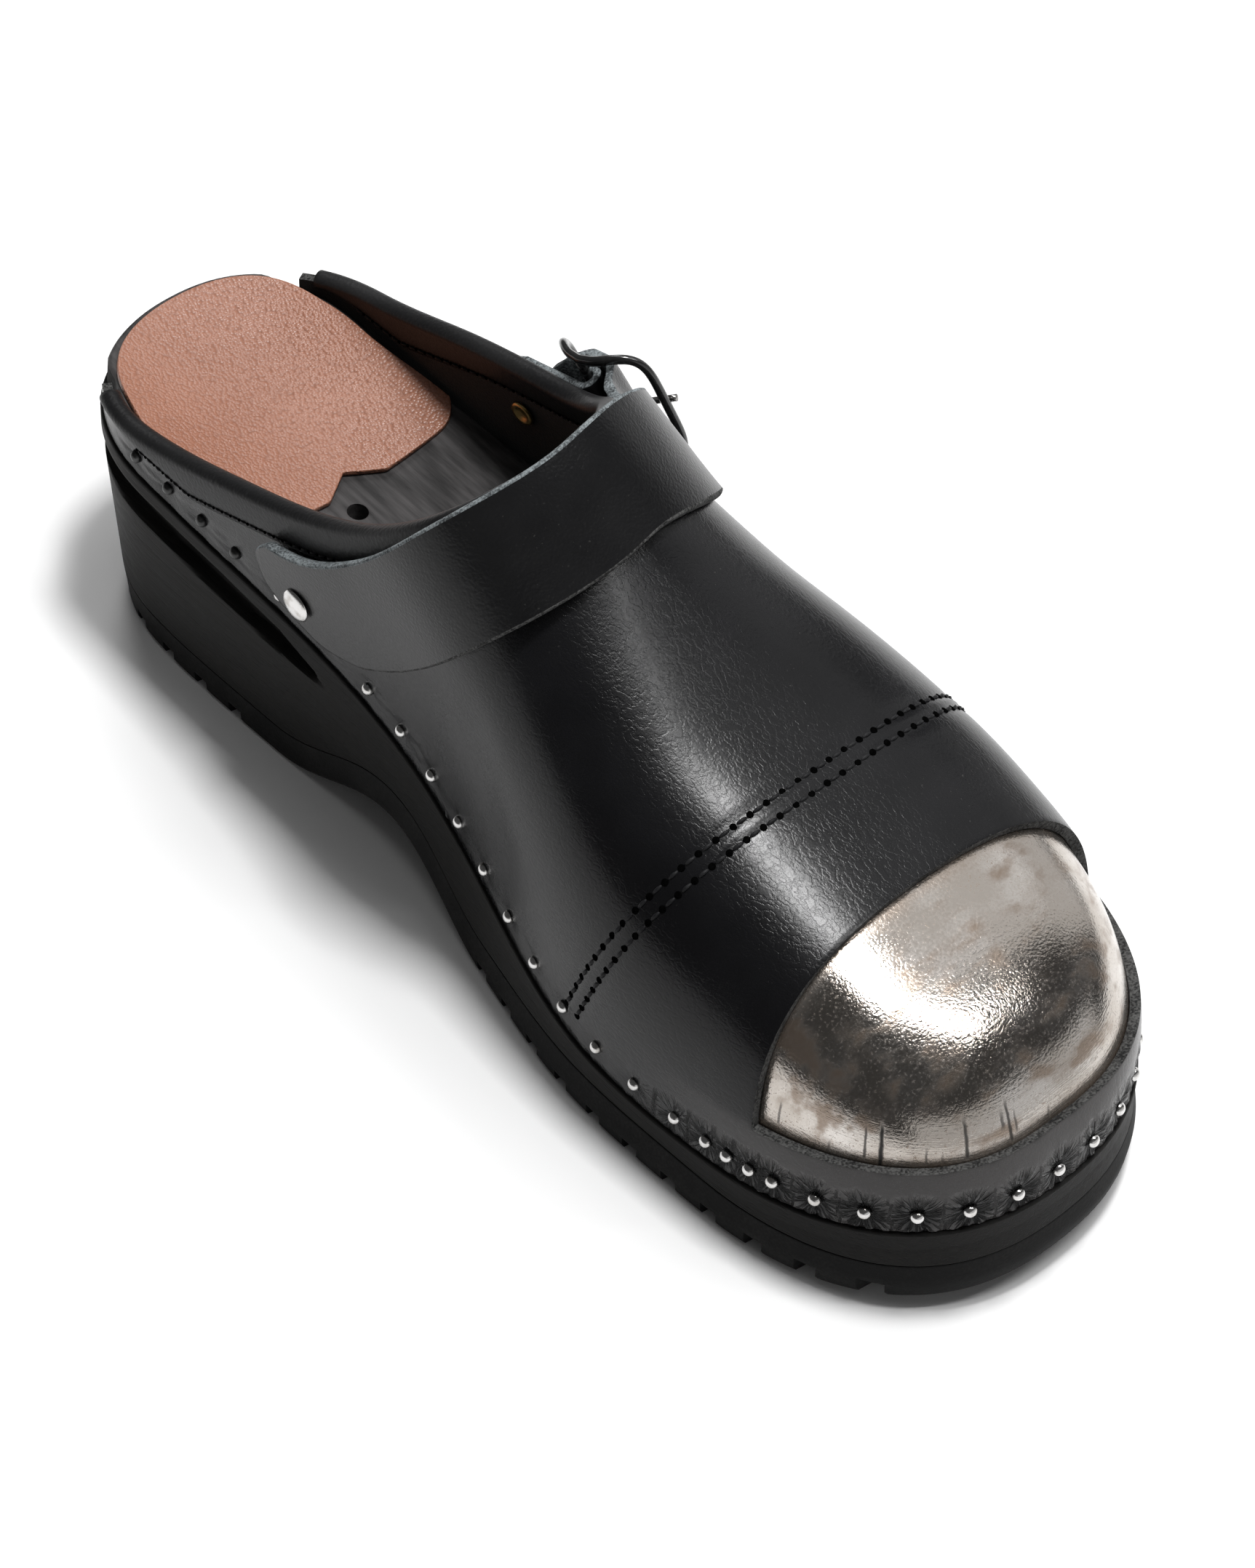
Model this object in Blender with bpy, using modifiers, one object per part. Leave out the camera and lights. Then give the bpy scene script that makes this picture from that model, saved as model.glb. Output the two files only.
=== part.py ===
"""Safety clog for the left foot: a nailed leather upper over a steel toe cap, on a wooden sole.

The toe points to -Y and the heel to +Y. The inner (medial) side is -X. The sole stands on Z = 0.
All sizes are in millimetres; finish() turns them into metres.
"""

import math

import bmesh
import bpy
import numpy as np
from mathutils import Vector

MM = 0.001

# Driving sizes
SOLE_LENGTH = 285.0
LEATHER = 2.2           # wall of the upper
GAP = 0.3               # clearance where two pieces meet
STEEL = 1.8             # wall of the toe cap
RUBBER = 9.0            # outsole with its lugs
SOCK = 1.3              # heel sock

# The last, one row for each section, measured from the toe tip.
# centre and half_width give the plan, feather is the leather's lower edge above the floor,
# ridge is the crown, lean moves the crown to the medial side, and the powers shape the section on each side.
SECTION_COLUMNS = (
    "from_toe", "centre", "half_width", "feather", "ridge", "lean", "medial_power", "lateral_power",
)
SECTIONS = (
    (0.0, -8.6, 47.4, 24.0, 59.0, 0.0, 3.0, 3.0),
    (30.0, -4.9, 48.6, 18.8, 62.5, -0.8, 3.0, 3.0),
    (60.0, -1.7, 51.6, 15.0, 70.0, -3.0, 2.95, 2.95),
    (95.0, 0.7, 52.8, 16.0, 80.5, -5.6, 2.85, 2.55),
    (125.0, 3.0, 48.1, 22.2, 96.0, -8.5, 2.8, 1.95),
    (155.0, 1.9, 40.4, 32.5, 118.0, -11.0, 2.8, 1.7),
    (190.0, -0.9, 36.0, 43.0, 127.0, -12.0, 2.8, 1.9),
    (230.0, -2.5, 34.2, 48.2, 131.0, -12.0, 2.8, 2.2),
    (265.0, -1.5, 34.2, 51.3, 133.0, -12.0, 2.8, 2.3),
    (285.0, 0.0, 35.5, 52.4, 134.0, -12.0, 2.8, 2.3),
)
TOE_REACH, TOE_ROUND = 56.0, 2.3        # length and power of the toe's rounding in plan
HEEL_REACH, HEEL_ROUND = 37.0, 2.2
CROWN_REACH, CROWN_ROUND = 43.0, 2.4    # the same for the toe's profile

# Topline above the leather's lower edge, from the throat back to the end of each wing
TOPLINE_COLUMNS = ("from_throat", "medial", "lateral")
THROAT, WING_END = 147.0, 270.6
TOPLINE = (
    (0.08, 70.0, 73.0),
    (0.20, 52.5, 52.0),
    (0.37, 35.5, 37.0),
    (0.57, 23.5, 27.0),
    (0.78, 13.5, 16.0),
    (1.00, 7.5, 7.5),
)

# Window over the toe cap
WINDOW_CORNER = 44.5        # its lower corners, from the toe tip
WINDOW_REAR = 49.5          # its rear edge at the crown
WINDOW_BOW = 0.75           # power of the rear edge's sweep
STRIP_HEIGHT = 16.3         # leather left below the window
CAP_END = 66.0              # the cap runs on under the leather to here
CAP_FOOT = 6.3              # the cap's lower edge, above the leather's

# Sole
LIP, LIP_HEIGHT = 0.6, 5.0              # the wood below the leather stands out by LIP
FOOTBED_RIM = 6.0                       # footbed's edge above the leather's lower edge
HEEL_CUP, FOREFOOT_CUP = 4.5, 1.0
TOE_SPRING, SPRING_FROM = 4.5, 62.0
ARCH_FROM, ARCH_TO, ARCH_RISE = 128.0, 205.0, 12.0
FOREFOOT_FLARE, HEEL_TAPER = 2.0, -4.0  # the tread's outline against the leather's
AXIS_FROM, AXIS_TO = 56.0, 248.0        # the plan's middle line between toe arc and heel arc
GROOVE_FROM, GROOVE_HEIGHT, GROOVE_DEPTH, GROOVE_TAPER = 190.0, 7.0, 3.2, 16.0
HOLE_X, HOLE_Q, HOLE_RADIUS, HOLE_DEPTH = -6.5, 213.0, 2.4, 6.0

# Tread grooves, one row for each run of them
TREAD_COLUMNS = ("first", "last", "count")
TREAD = (
    (9.0, 119.0, 11),
    (213.0, 273.0, 6),
)
TREAD_WIDTH, TREAD_DEPTH, TREAD_RIB, TREAD_SLANT = 4.2, 3.4, 9.0, 10.0

# Collar binding folded over the topline
BINDING, BINDING_WIDTH, BINDING_END = 0.9, 8.4, 0.965

# Heel sock: front edge, from the toe, with a notch and two rounded lobes
SOCK_FRONT, SOCK_NOTCH, SOCK_NOTCH_WIDTH, SOCK_CORNER, SOCK_INSET = 216.5, 5.0, 0.26, 14.0, 0.985

# Strap: guide points of its middle line, laid on the last
STRAP_COLUMNS = ("across", "from_toe", "height")
STRAP_PATH = (
    (-41.0, 214.0, 56.5),
    (-41.0, 203.0, 56.5),
    (-41.0, 187.0, 60.0),
    (-41.5, 165.6, 74.7),
    (-38.0, 147.7, 92.7),
    (-30.0, 137.5, 104.5),
    (-14.5, 135.0, 108.5),
    (0.0, 136.5, 110.0),
    (12.0, 138.5, 108.0),
    (23.0, 142.5, 103.5),
    (32.0, 149.5, 96.0),
    (38.0, 159.0, 87.0),
    (39.0, 169.0, 79.0),
    (38.0, 180.0, 73.0),
    (37.0, 193.0, 68.0),
    (36.0, 212.0, 62.5),
)
STRAP, STRAP_WIDTH = 2.4, 25.0
STRAP_LIFT = (2.8, 2.3, 1.1)    # inner face above the last at the strap's upper edge, middle and lower edge
# Medial end of the strap: where it is cut along the strap's line, from its lower edge to its upper one
STRAP_END_COLUMNS = ("across", "along")
STRAP_END = (
    (-0.5, 36.0),
    (-0.42, 27.0),
    (-0.3, 21.5),
    (0.0, 12.0),
    (0.2, 9.8),
    (0.38, 10.5),
    (0.5, 15.0),
)
BUCKLE_AT, TAIL, HOLE_STEP = 0.865, 14.5, 9.7
ANCHOR, ANCHOR_WIDTH, ANCHOR_LIFT = 1.8, 22.0, 2.1
BAR_RADIUS, FRAME_REACH, FRAME_HALF, FRAME_RISE = 1.25, 11.5, 16.0, 5.2
PRONG = 1.0
RIVET_SHANK, RIVET_HEAD, RIVET_RISE = 1.5, 4.3, 1.5
RIVET_RING, RIVET_BACK = 3.1, 0.9
MEDIAL_RIVET, LATERAL_RIVET = 0.098, 0.949

# Nails along the leather's lower edge: length from its medial end, one row for each run of even steps
NAIL_COLUMNS = ("first", "last", "count")
NAIL_RUNS = (
    (17.7, 52.0, 4),
    (66.5, 81.0, 2),
    (95.4, 211.7, 11),
    (220.3, 237.5, 4),
    (247.2, 362.0, 12),
    (372.5, 384.5, 3),
    (398.0, 590.0, 11),
)
NAIL_HEIGHT, NAIL_RADIUS, NAIL_RISE = 4.3, 1.9, 1.5

TOE_ARC, HEEL_ARC, SIDE_STEPS = 20, 14, 18

for item in list(bpy.data.objects):
    bpy.data.objects.remove(item)
CLOG = bpy.data.collections.new("safety_clog")
CUTTERS = bpy.data.collections.new("cutters")
for group in (CLOG, CUTTERS):
    bpy.context.scene.collection.children.link(group)


def finish_of(name, colour, metallic, roughness):
    """A plain Principled material."""
    made = bpy.data.materials.new(name)
    made.use_nodes = True
    shader = made.node_tree.nodes["Principled BSDF"]
    shader.inputs["Base Color"].default_value = (*colour, 1.0)
    shader.inputs["Metallic"].default_value = metallic
    shader.inputs["Roughness"].default_value = roughness
    return made


BLACK_LEATHER = finish_of("black_leather", (0.02, 0.02, 0.022), 0.0, 0.35)
TAN_LEATHER = finish_of("tan_leather", (0.22, 0.12, 0.06), 0.0, 0.6)
BLACK_WOOD = finish_of("black_wood", (0.025, 0.022, 0.02), 0.0, 0.5)
BLACK_RUBBER = finish_of("black_rubber", (0.02, 0.02, 0.02), 0.0, 0.7)
BARE_STEEL = finish_of("bare_steel", (0.45, 0.43, 0.4), 1.0, 0.35)
BLACK_METAL = finish_of("black_metal", (0.03, 0.03, 0.03), 0.6, 0.35)
BRASS = finish_of("brass", (0.6, 0.42, 0.16), 1.0, 0.35)


def spline(xs, ys):
    """Natural cubic spline through the points, as a function of an array."""
    xs, ys = np.asarray(xs, float), np.asarray(ys, float)
    step = np.diff(xs)
    system, right = np.eye(len(xs)), np.zeros(len(xs))
    for i in range(1, len(xs) - 1):
        system[i, i - 1:i + 2] = step[i - 1], 2 * (step[i - 1] + step[i]), step[i]
        right[i] = 6 * ((ys[i + 1] - ys[i]) / step[i] - (ys[i] - ys[i - 1]) / step[i - 1])
    bend = np.linalg.solve(system, right)

    def value(x):
        x = np.clip(np.asarray(x, float), xs[0], xs[-1])
        i = np.clip(np.searchsorted(xs, x) - 1, 0, len(xs) - 2)
        a = (xs[i + 1] - x) / step[i]
        b = 1 - a
        curl = (a ** 3 - a) * bend[i] + (b ** 3 - b) * bend[i + 1]
        return a * ys[i] + b * ys[i + 1] + curl * step[i] ** 2 / 6

    return value


STATIONS = [row[0] for row in SECTIONS]
LAST = {name: spline(STATIONS, [row[i] for row in SECTIONS]) for i, name in enumerate(SECTION_COLUMNS)}


def smooth(x, low, high):
    """Smooth step from 0 at low to 1 at high."""
    t = np.clip((np.asarray(x, float) - low) / (high - low), 0, 1)
    return t * t * (3 - 2 * t)


def unit(vectors):
    return vectors / np.maximum(np.linalg.norm(vectors, axis=-1, keepdims=True), 1e-9)


def closing(distance, reach, power):
    """Rounding of an end: 0 at the tip, 1 from reach on."""
    left = np.clip(1 - distance / reach, 0, 1)
    return (1 - left ** power) ** (1 / power)


def half_width(q):
    toe = closing(q, TOE_REACH, TOE_ROUND)
    heel = closing(SOLE_LENGTH - q, HEEL_REACH, HEEL_ROUND)
    return LAST["half_width"](q) * toe * heel


def crown(q):
    """Height of the last above the leather's lower edge."""
    return (LAST["ridge"](q) - LAST["feather"](q)) * closing(q, CROWN_REACH, CROWN_ROUND)


def section_power(q, side):
    """Power of the section on a side; the two sides are alike round the toe."""
    medial = LAST["medial_power"](q)
    lateral = medial + (LAST["lateral_power"](q) - medial) * smooth(q, 50, 70)
    return np.where(np.asarray(side) < 0, medial, lateral)


def last_point(q, angle, side):
    """Point of the last at station q; angle is 0 at the leather's lower edge and 90 degrees at the crown."""
    power = section_power(q, side)
    rise = np.maximum(np.sin(angle), 0) ** (2 / power)
    reach = np.maximum(np.cos(angle), 0) ** (2 / power)
    x = LAST["centre"](q) + LAST["lean"](q) * rise ** 2 + side * half_width(q) * reach
    return np.stack([x, q - SOLE_LENGTH / 2, LAST["feather"](q) + rise * crown(q)], -1)


def outside(x, q, height):
    """Below 0 inside the last and above 0 outside it."""
    share = np.maximum(height, 0) / np.maximum(crown(q), 1e-3)
    across = (x - LAST["centre"](q) - LAST["lean"](q) * share ** 2) / np.maximum(half_width(q), 1e-3)
    power = section_power(q, across)
    return np.abs(across) ** power + share ** power - 1


def ray_hit(start, way):
    """Length along each way from each start, both as x, q and height, to the last's surface."""
    low, high = np.zeros(len(way)), np.full(len(way), 150.0)
    for _ in range(45):
        middle = (low + high) / 2
        spot = start + way * middle[:, None]
        out = outside(spot[:, 0], spot[:, 1], spot[:, 2]) > 0
        low, high = np.where(out, low, middle), np.where(out, middle, high)
    return low


def last_value(points):
    q = points[:, 1] + SOLE_LENGTH / 2
    return outside(points[:, 0], q, points[:, 2] - LAST["feather"](q))


def last_gradient(points):
    step = 0.05 * np.eye(3)
    return np.stack([(last_value(points + way) - last_value(points - way)) / 0.1 for way in step], -1)


def onto_last(points, stand_off=0.0):
    """Move points to the last and out by stand_off; returns them and the normals."""
    for _ in range(8):
        slope = last_gradient(points)
        points = points - slope * (last_value(points) / (slope ** 2).sum(-1))[:, None]
    normal = unit(last_gradient(points))
    return points + normal * np.reshape(stand_off, (-1, 1)), normal


def patch(mesh, columns, rows, place):
    """Add a grid and put its points where place(u, v) says."""
    made = bmesh.ops.create_grid(mesh, x_segments=columns, y_segments=rows, size=1.0)["verts"]
    u = np.array([vert.co.x for vert in made]) * 0.5 + 0.5
    v = np.array([vert.co.y for vert in made]) * 0.5 + 0.5
    for vert, point in zip(made, place(u, v)):
        vert.co = point


def loft(mesh, rings, closed=True):
    """Skin a list of rings of points; closed rings join their last point to the first."""
    stack = np.stack(rings)
    rows, count = stack.shape[0] - 1, stack.shape[1]
    columns = count if closed else count - 1

    def place(u, v):
        return stack[np.rint(v * rows).astype(int), np.rint(u * columns).astype(int) % count]

    patch(mesh, columns, rows, place)


def finish(name, mesh, material, wall=0.0, inside=None, home=CLOG):
    """Turn the mesh into an object in metres, with a wall going inward if it is a sheet."""
    bmesh.ops.remove_doubles(mesh, verts=mesh.verts, dist=0.02)
    bmesh.ops.dissolve_degenerate(mesh, edges=mesh.edges, dist=0.005)
    bmesh.ops.recalc_face_normals(mesh, faces=mesh.faces)
    if inside is not None:
        heading = sum(face.normal.dot(face.calc_center_median() - Vector(inside)) for face in mesh.faces)
        if heading < 0:
            bmesh.ops.reverse_faces(mesh, faces=mesh.faces)
    bmesh.ops.scale(mesh, vec=(MM, MM, MM), verts=mesh.verts)
    data = bpy.data.meshes.new(name)
    mesh.to_mesh(data)
    mesh.free()
    made = bpy.data.objects.new(name, data)
    home.objects.link(made)
    if material:
        data.materials.append(material)
    if wall:
        solid = made.modifiers.new("wall", "SOLIDIFY")
        solid.thickness = wall * MM
        solid.offset = -1.0
        solid.use_even_offset = True
    return made


def cut(target, cutter):
    """Take the cutter out of the target."""
    cutter.hide_render = True
    cutter.display_type = "WIRE"
    work = target.modifiers.new(cutter.name, "BOOLEAN")
    work.operation = "DIFFERENCE"
    work.solver = "EXACT"
    work.object = cutter


def topline(side):
    """Height of the collar above the leather's lower edge, as a function of the station."""
    column = TOPLINE_COLUMNS.index("medial" if side < 0 else "lateral")
    at = [THROAT] + [THROAT + row[0] * (WING_END - THROAT) for row in TOPLINE]
    return spline(at, [float(crown(THROAT))] + [row[column] for row in TOPLINE])


def top_angle(q, side):
    """Section angle of the collar at station q behind the throat."""
    share = np.clip(topline(side)(q) / crown(q), 0, 1)
    return np.arcsin(share ** (section_power(q, side) / 2))


STRIP_ROWS, WALL_ROWS, VAMP_COLUMNS, WING_COLUMNS = 3, 8, 11, 18
CORNER_POWER = float(LAST["medial_power"](WINDOW_CORNER))
CORNER_ANGLE = float(np.arcsin((STRIP_HEIGHT / crown(WINDOW_CORNER)) ** (CORNER_POWER / 2)))
ROW_ANGLES = np.concatenate([
    np.linspace(0, 1, STRIP_ROWS + 1)[:-1] * CORNER_ANGLE,
    np.linspace(CORNER_ANGLE, math.pi / 2, WALL_ROWS + 1),
])
HALF_ROWS = len(ROW_ANGLES) - 1


def row_angle(share):
    return np.interp(share, np.linspace(0, 1, HALF_ROWS + 1), ROW_ANGLES)


def window_edge(angle):
    """Station of the window's rear edge at a section angle."""
    share = np.clip((angle - CORNER_ANGLE) / (math.pi / 2 - CORNER_ANGLE), 0, 1)
    return WINDOW_CORNER + (WINDOW_REAR - WINDOW_CORNER) * share ** WINDOW_BOW


def wing_station(share):
    return THROAT + (WING_END - THROAT) * (1 - (1 - share ** 2) ** 2)


def make_upper():
    """Vamp, wings and toe strip as one sheet with a wall."""
    mesh = bmesh.new()

    def vamp(u, v):
        angle = row_angle(1 - np.abs(2 * v - 1))
        front = window_edge(angle)
        return last_point(front + (THROAT - front) * u, angle, np.where(v < 0.5, -1.0, 1.0))

    patch(mesh, VAMP_COLUMNS, 2 * HALF_ROWS, vamp)
    for side in (-1.0, 1.0):
        def wing(u, v):
            q = wing_station(u)
            return last_point(q, row_angle(v) * top_angle(q, side) / (math.pi / 2), side)

        patch(mesh, WING_COLUMNS, HALF_ROWS, wing)

    def strip(u, v):
        return around_toe(WINDOW_CORNER, u, strip_height(v))

    patch(mesh, TOE_ARC, STRIP_ROWS, strip)
    return finish("upper", mesh, BLACK_LEATHER, LEATHER, (0.0, -60.0, 40.0))


def strip_height(v):
    angle = np.interp(v, np.linspace(0, 1, STRIP_ROWS + 1), ROW_ANGLES[:STRIP_ROWS + 1])
    return crown(WINDOW_CORNER) * np.sin(angle) ** (2 / CORNER_POWER)


def around_toe(station, share, height):
    """Points of the last round the toe, from the medial side at a station to the lateral one."""
    turn = (share - 0.5) * math.pi
    lean = LAST["lean"](station) * (height / crown(station)) ** 2
    start = np.stack([LAST["centre"](station) + lean, np.full_like(turn, station), height], -1)
    way = np.stack([np.sin(turn), -np.cos(turn), np.zeros_like(turn)], -1)
    spot = start + way * ray_hit(start, way)[:, None]
    z = LAST["feather"](spot[:, 1]) + height
    return np.stack([spot[:, 0], spot[:, 1] - SOLE_LENGTH / 2, z], -1)


def make_cap():
    """Steel cap just inside the leather, as a dome seen from its rear foot."""
    mesh = bmesh.new()

    def dome(u, v):
        turn, lift = (u - 0.5) * math.pi, v * math.pi / 2
        start = np.array([float(LAST["centre"](CAP_END)), CAP_END, CAP_FOOT])
        way = np.stack([np.sin(turn) * np.cos(lift), -np.cos(turn) * np.cos(lift), np.sin(lift)], -1)
        spot = start + way * ray_hit(start, way)[:, None]
        spot[:, 2] += LAST["feather"](spot[:, 1])
        spot[:, 1] -= SOLE_LENGTH / 2
        return onto_last(spot, -(LEATHER + GAP))[0]

    patch(mesh, TOE_ARC, 9, dome)
    return finish("toe_cap", mesh, BARE_STEEL, STEEL, (0.0, -90.0, 30.0))


def plan_rays():
    """Start and way of the rays from the middle line to the plan outline, toe first, lateral side next."""
    toe = np.linspace(-0.5, 0.5, TOE_ARC + 1) * math.pi
    heel = np.linspace(0.5, 1.5, HEEL_ARC + 1) * math.pi
    sides = np.linspace(AXIS_FROM, AXIS_TO, SIDE_STEPS + 1)[1:-1]
    turn = np.concatenate([toe, np.full(len(sides), math.pi / 2), heel, np.full(len(sides), 1.5 * math.pi)])
    q = np.concatenate([np.full(len(toe), AXIS_FROM), sides, np.full(len(heel), AXIS_TO), sides[::-1]])
    start = np.stack([LAST["centre"](q), q, np.zeros_like(q)], -1)
    way = np.stack([np.sin(turn), -np.cos(turn), np.zeros_like(q)], -1)
    return start, way


AXIS, WAY = plan_rays()
RIM = AXIS + WAY * ray_hit(AXIS, WAY)[:, None]
ALONG = unit(np.roll(RIM, -1, 0) - np.roll(RIM, 1, 0))
PLAN_NORMAL = np.stack([ALONG[:, 1], -ALONG[:, 0], np.zeros(len(RIM))], -1)


def ground(q):
    """Height of the tread's lower face above the floor."""
    spring = TOE_SPRING * np.clip((SPRING_FROM - q) / SPRING_FROM, 0, 2) ** 2
    arch = np.clip((q - ARCH_FROM) / (ARCH_TO - ARCH_FROM), 0, 1)
    return spring + ARCH_RISE * np.sin(math.pi * arch) ** 2


def ring(grow, height, share=1.0):
    """Plan outline moved out by grow and shrunk to the middle line by share, at height(station, share)."""
    edge = RIM + PLAN_NORMAL * np.reshape(grow, (-1, 1))
    spot = AXIS + (edge - AXIS) * share
    return np.stack([spot[:, 0], spot[:, 1] - SOLE_LENGTH / 2, height(spot[:, 1], share)], -1)


def footbed(q, share):
    """Height of the footbed at a station, share being 0 on the middle line and 1 at the edge."""
    cup = FOREFOOT_CUP + (HEEL_CUP - FOREFOOT_CUP) * smooth(q, 150, 215)
    return LAST["feather"](q) + FOOTBED_RIM - cup * (1 - share ** 2)


def tread_grow(q):
    return FOREFOOT_FLARE * (1 - smooth(q, 130, 200)) + HEEL_TAPER * smooth(q, 235, 284)


def wall_grow(q, z):
    """Outline of the sole's side wall at height z: from the lip down to the tread."""
    top = LAST["feather"](q) - LIP_HEIGHT
    share = np.clip((z - ground(q)) / np.maximum(top - ground(q), 1), 0, 1)
    return tread_grow(q) + (LIP - tread_grow(q)) * share


def parting(q):
    return ground(q) + RUBBER


def lip_foot(q, share):
    """Lower edge of the wood's lip; share is not used."""
    return np.maximum(LAST["feather"](q) - LIP_HEIGHT, parting(q) + 2 * GAP)


def make_wood():
    """Wooden sole: footbed, rabbet for the leather, lip and side wall."""
    q = RIM[:, 1]
    depth = LEATHER + 2 * GAP
    rabbet = -depth + depth * smooth(q, WING_END + 2, WING_END + 8)
    mesh = bmesh.new()
    rings = [ring(rabbet - 1.5, footbed, share) for share in (0.0, 0.3, 0.6, 0.85, 1.0)]
    rings.append(ring(rabbet - GAP, lambda at, share: footbed(at, share) - 1.0))
    rings.append(ring(rabbet, lambda at, share: LAST["feather"](at) - GAP))
    rings.append(ring(LIP, lambda at, share: LAST["feather"](at) - GAP))
    rings.append(ring(LIP, lip_foot))
    under = wall_grow(q, parting(q) + GAP)
    rings += [ring(under, lambda at, share: parting(at) + GAP, share) for share in (1.0, 0.6, 0.0)]
    loft(mesh, rings)
    wood = finish("wood_sole", mesh, BLACK_WOOD)
    cut(wood, make_groove())
    cut(wood, make_hole())
    return wood


def make_groove():
    """Cutter of the routed groove round the heel, narrowing to its two front ends."""
    picked = [i for i in range(len(RIM)) if RIM[i, 1] > GROOVE_FROM]
    q = RIM[picked, 1]
    narrow = np.clip((q - GROOVE_FROM) / GROOVE_TAPER, 0.02, 1) ** 0.5
    top = LAST["feather"](q) - LIP_HEIGHT
    rows = []
    for grow, drop in ((-GROOVE_DEPTH, 0.0), (8.0, 0.0), (8.0, 1.0), (-GROOVE_DEPTH, 1.0)):
        edge = RIM[picked] + PLAN_NORMAL[picked] * (LIP + grow)
        z = top - GROOVE_HEIGHT * (0.5 + (drop - 0.5) * narrow)
        rows.append(np.stack([edge[:, 0], edge[:, 1] - SOLE_LENGTH / 2, z], -1))
    mesh = bmesh.new()
    loft(mesh, list(np.stack(rows, 1)))
    bmesh.ops.remove_doubles(mesh, verts=mesh.verts, dist=0.001)
    close_ends(mesh)
    return finish("heel_groove", mesh, None, home=CUTTERS)


def make_hole():
    """Cutter of the blind hole in the footbed."""
    top = float(footbed(HOLE_Q, 0.0))
    mesh = bmesh.new()
    bmesh.ops.create_cone(
        mesh, cap_ends=True, segments=16, radius1=HOLE_RADIUS, radius2=HOLE_RADIUS, depth=2 * HOLE_DEPTH,
    )
    bmesh.ops.translate(mesh, verts=mesh.verts, vec=(HOLE_X, HOLE_Q - SOLE_LENGTH / 2, top))
    return finish("footbed_hole", mesh, None, home=CUTTERS)


def make_outsole():
    """Rubber outsole with heel, arch, toe spring and tread grooves."""
    q = RIM[:, 1]
    mesh = bmesh.new()
    top = wall_grow(q, parting(q))
    rings = [ring(top, lambda at, share: parting(at), share) for share in (0.0, 0.6, 1.0)]
    rings.append(ring(tread_grow(q), lambda at, share: ground(at) + TREAD_DEPTH + 0.6))
    rings.append(ring(tread_grow(q) - 0.8, lambda at, share: ground(at)))
    rings += [ring(tread_grow(q) - 0.8, lambda at, share: ground(at), share) for share in (0.6, 0.0)]
    loft(mesh, rings)
    sole = finish("outsole", mesh, BLACK_RUBBER)
    cut(sole, make_tread())
    return sole


def make_tread():
    """Cutters of the tread grooves, slanted bars on each side of a middle rib."""
    mesh = bmesh.new()
    for first, last, count in TREAD:
        for q in np.linspace(first, last, int(count)):
            for side in (-1.0, 1.0):
                made = bmesh.ops.create_cube(mesh, size=1.0)["verts"]
                bmesh.ops.scale(mesh, verts=made, vec=(80.0, TREAD_WIDTH, 20.0))
                shift = (side * (40.0 + TREAD_RIB / 2), 0.0, TREAD_DEPTH - 10.0)
                bmesh.ops.translate(mesh, verts=made, vec=shift)
                slope = math.tan(math.radians(side * TREAD_SLANT))
                for vert in made:
                    vert.co.y += vert.co.x * slope
                place = (float(LAST["centre"](q)), q - SOLE_LENGTH / 2, float(ground(q)))
                bmesh.ops.translate(mesh, verts=made, vec=place)
    return finish("tread_grooves", mesh, None, home=CUTTERS)


def make_sock():
    """Heel sock on the footbed, from its notched front edge round the heel."""
    mesh = bmesh.new()

    def front(share):
        notch = SOCK_NOTCH * np.clip(1 - np.abs(share) / SOCK_NOTCH_WIDTH, 0, 1)
        return SOCK_FRONT + notch + SOCK_CORNER * np.clip((np.abs(share) - 0.6) / 0.4, 0, 1) ** 2.5

    def lie(u, v):
        part = np.clip(np.stack([u * 3, u * 3 - 1, u * 3 - 2]), 0, 1)
        side = np.where(u < 0.5, -1.0, 1.0)
        edge = front(side * v)
        along = np.where(u < 0.5, part[0], 1 - part[2])
        q = np.where((u <= 1 / 3) | (u >= 2 / 3), edge + (AXIS_TO - edge) * along, AXIS_TO)
        turn = math.pi * (1.5 - part[1])
        start = np.stack([LAST["centre"](q), q, np.zeros_like(q)], -1)
        way = np.stack([np.sin(turn), -np.cos(turn), np.zeros_like(q)], -1)
        behind = smooth(start[:, 1] + way[:, 1] * ray_hit(start, way), WING_END + 2, WING_END + 8)
        rim = ray_hit(start, way) - (LEATHER + 2 * GAP) * (1 - behind) - 1.5
        spot = start + way * (rim * SOCK_INSET * v)[:, None]
        z = footbed(spot[:, 1], v * SOCK_INSET) + GAP + SOCK
        return np.stack([spot[:, 0], spot[:, 1] - SOLE_LENGTH / 2, z], -1)

    patch(mesh, 36, 6, lie)
    return finish("heel_sock", mesh, TAN_LEATHER, SOCK, (0.0, 100.0, 20.0))


def collar_line():
    """The upper's own topline points, medial end to lateral end, with the collar's height at each."""
    q = wing_station(np.linspace(0, 1, WING_COLUMNS + 1))
    end = THROAT + (WING_END - THROAT) * BINDING_END
    kept = np.append(q[q < end], end)
    sides = []
    for side in (-1.0, 1.0):
        row = np.column_stack([last_point(q, top_angle(q, side), side), topline(side)(q)])
        sides.append(np.stack([np.interp(kept, q, row[:, i]) for i in range(4)], -1))
    line = np.concatenate([sides[0][::-1], sides[1][1:]])
    return line[:, :3], line[:, 3]


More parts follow.
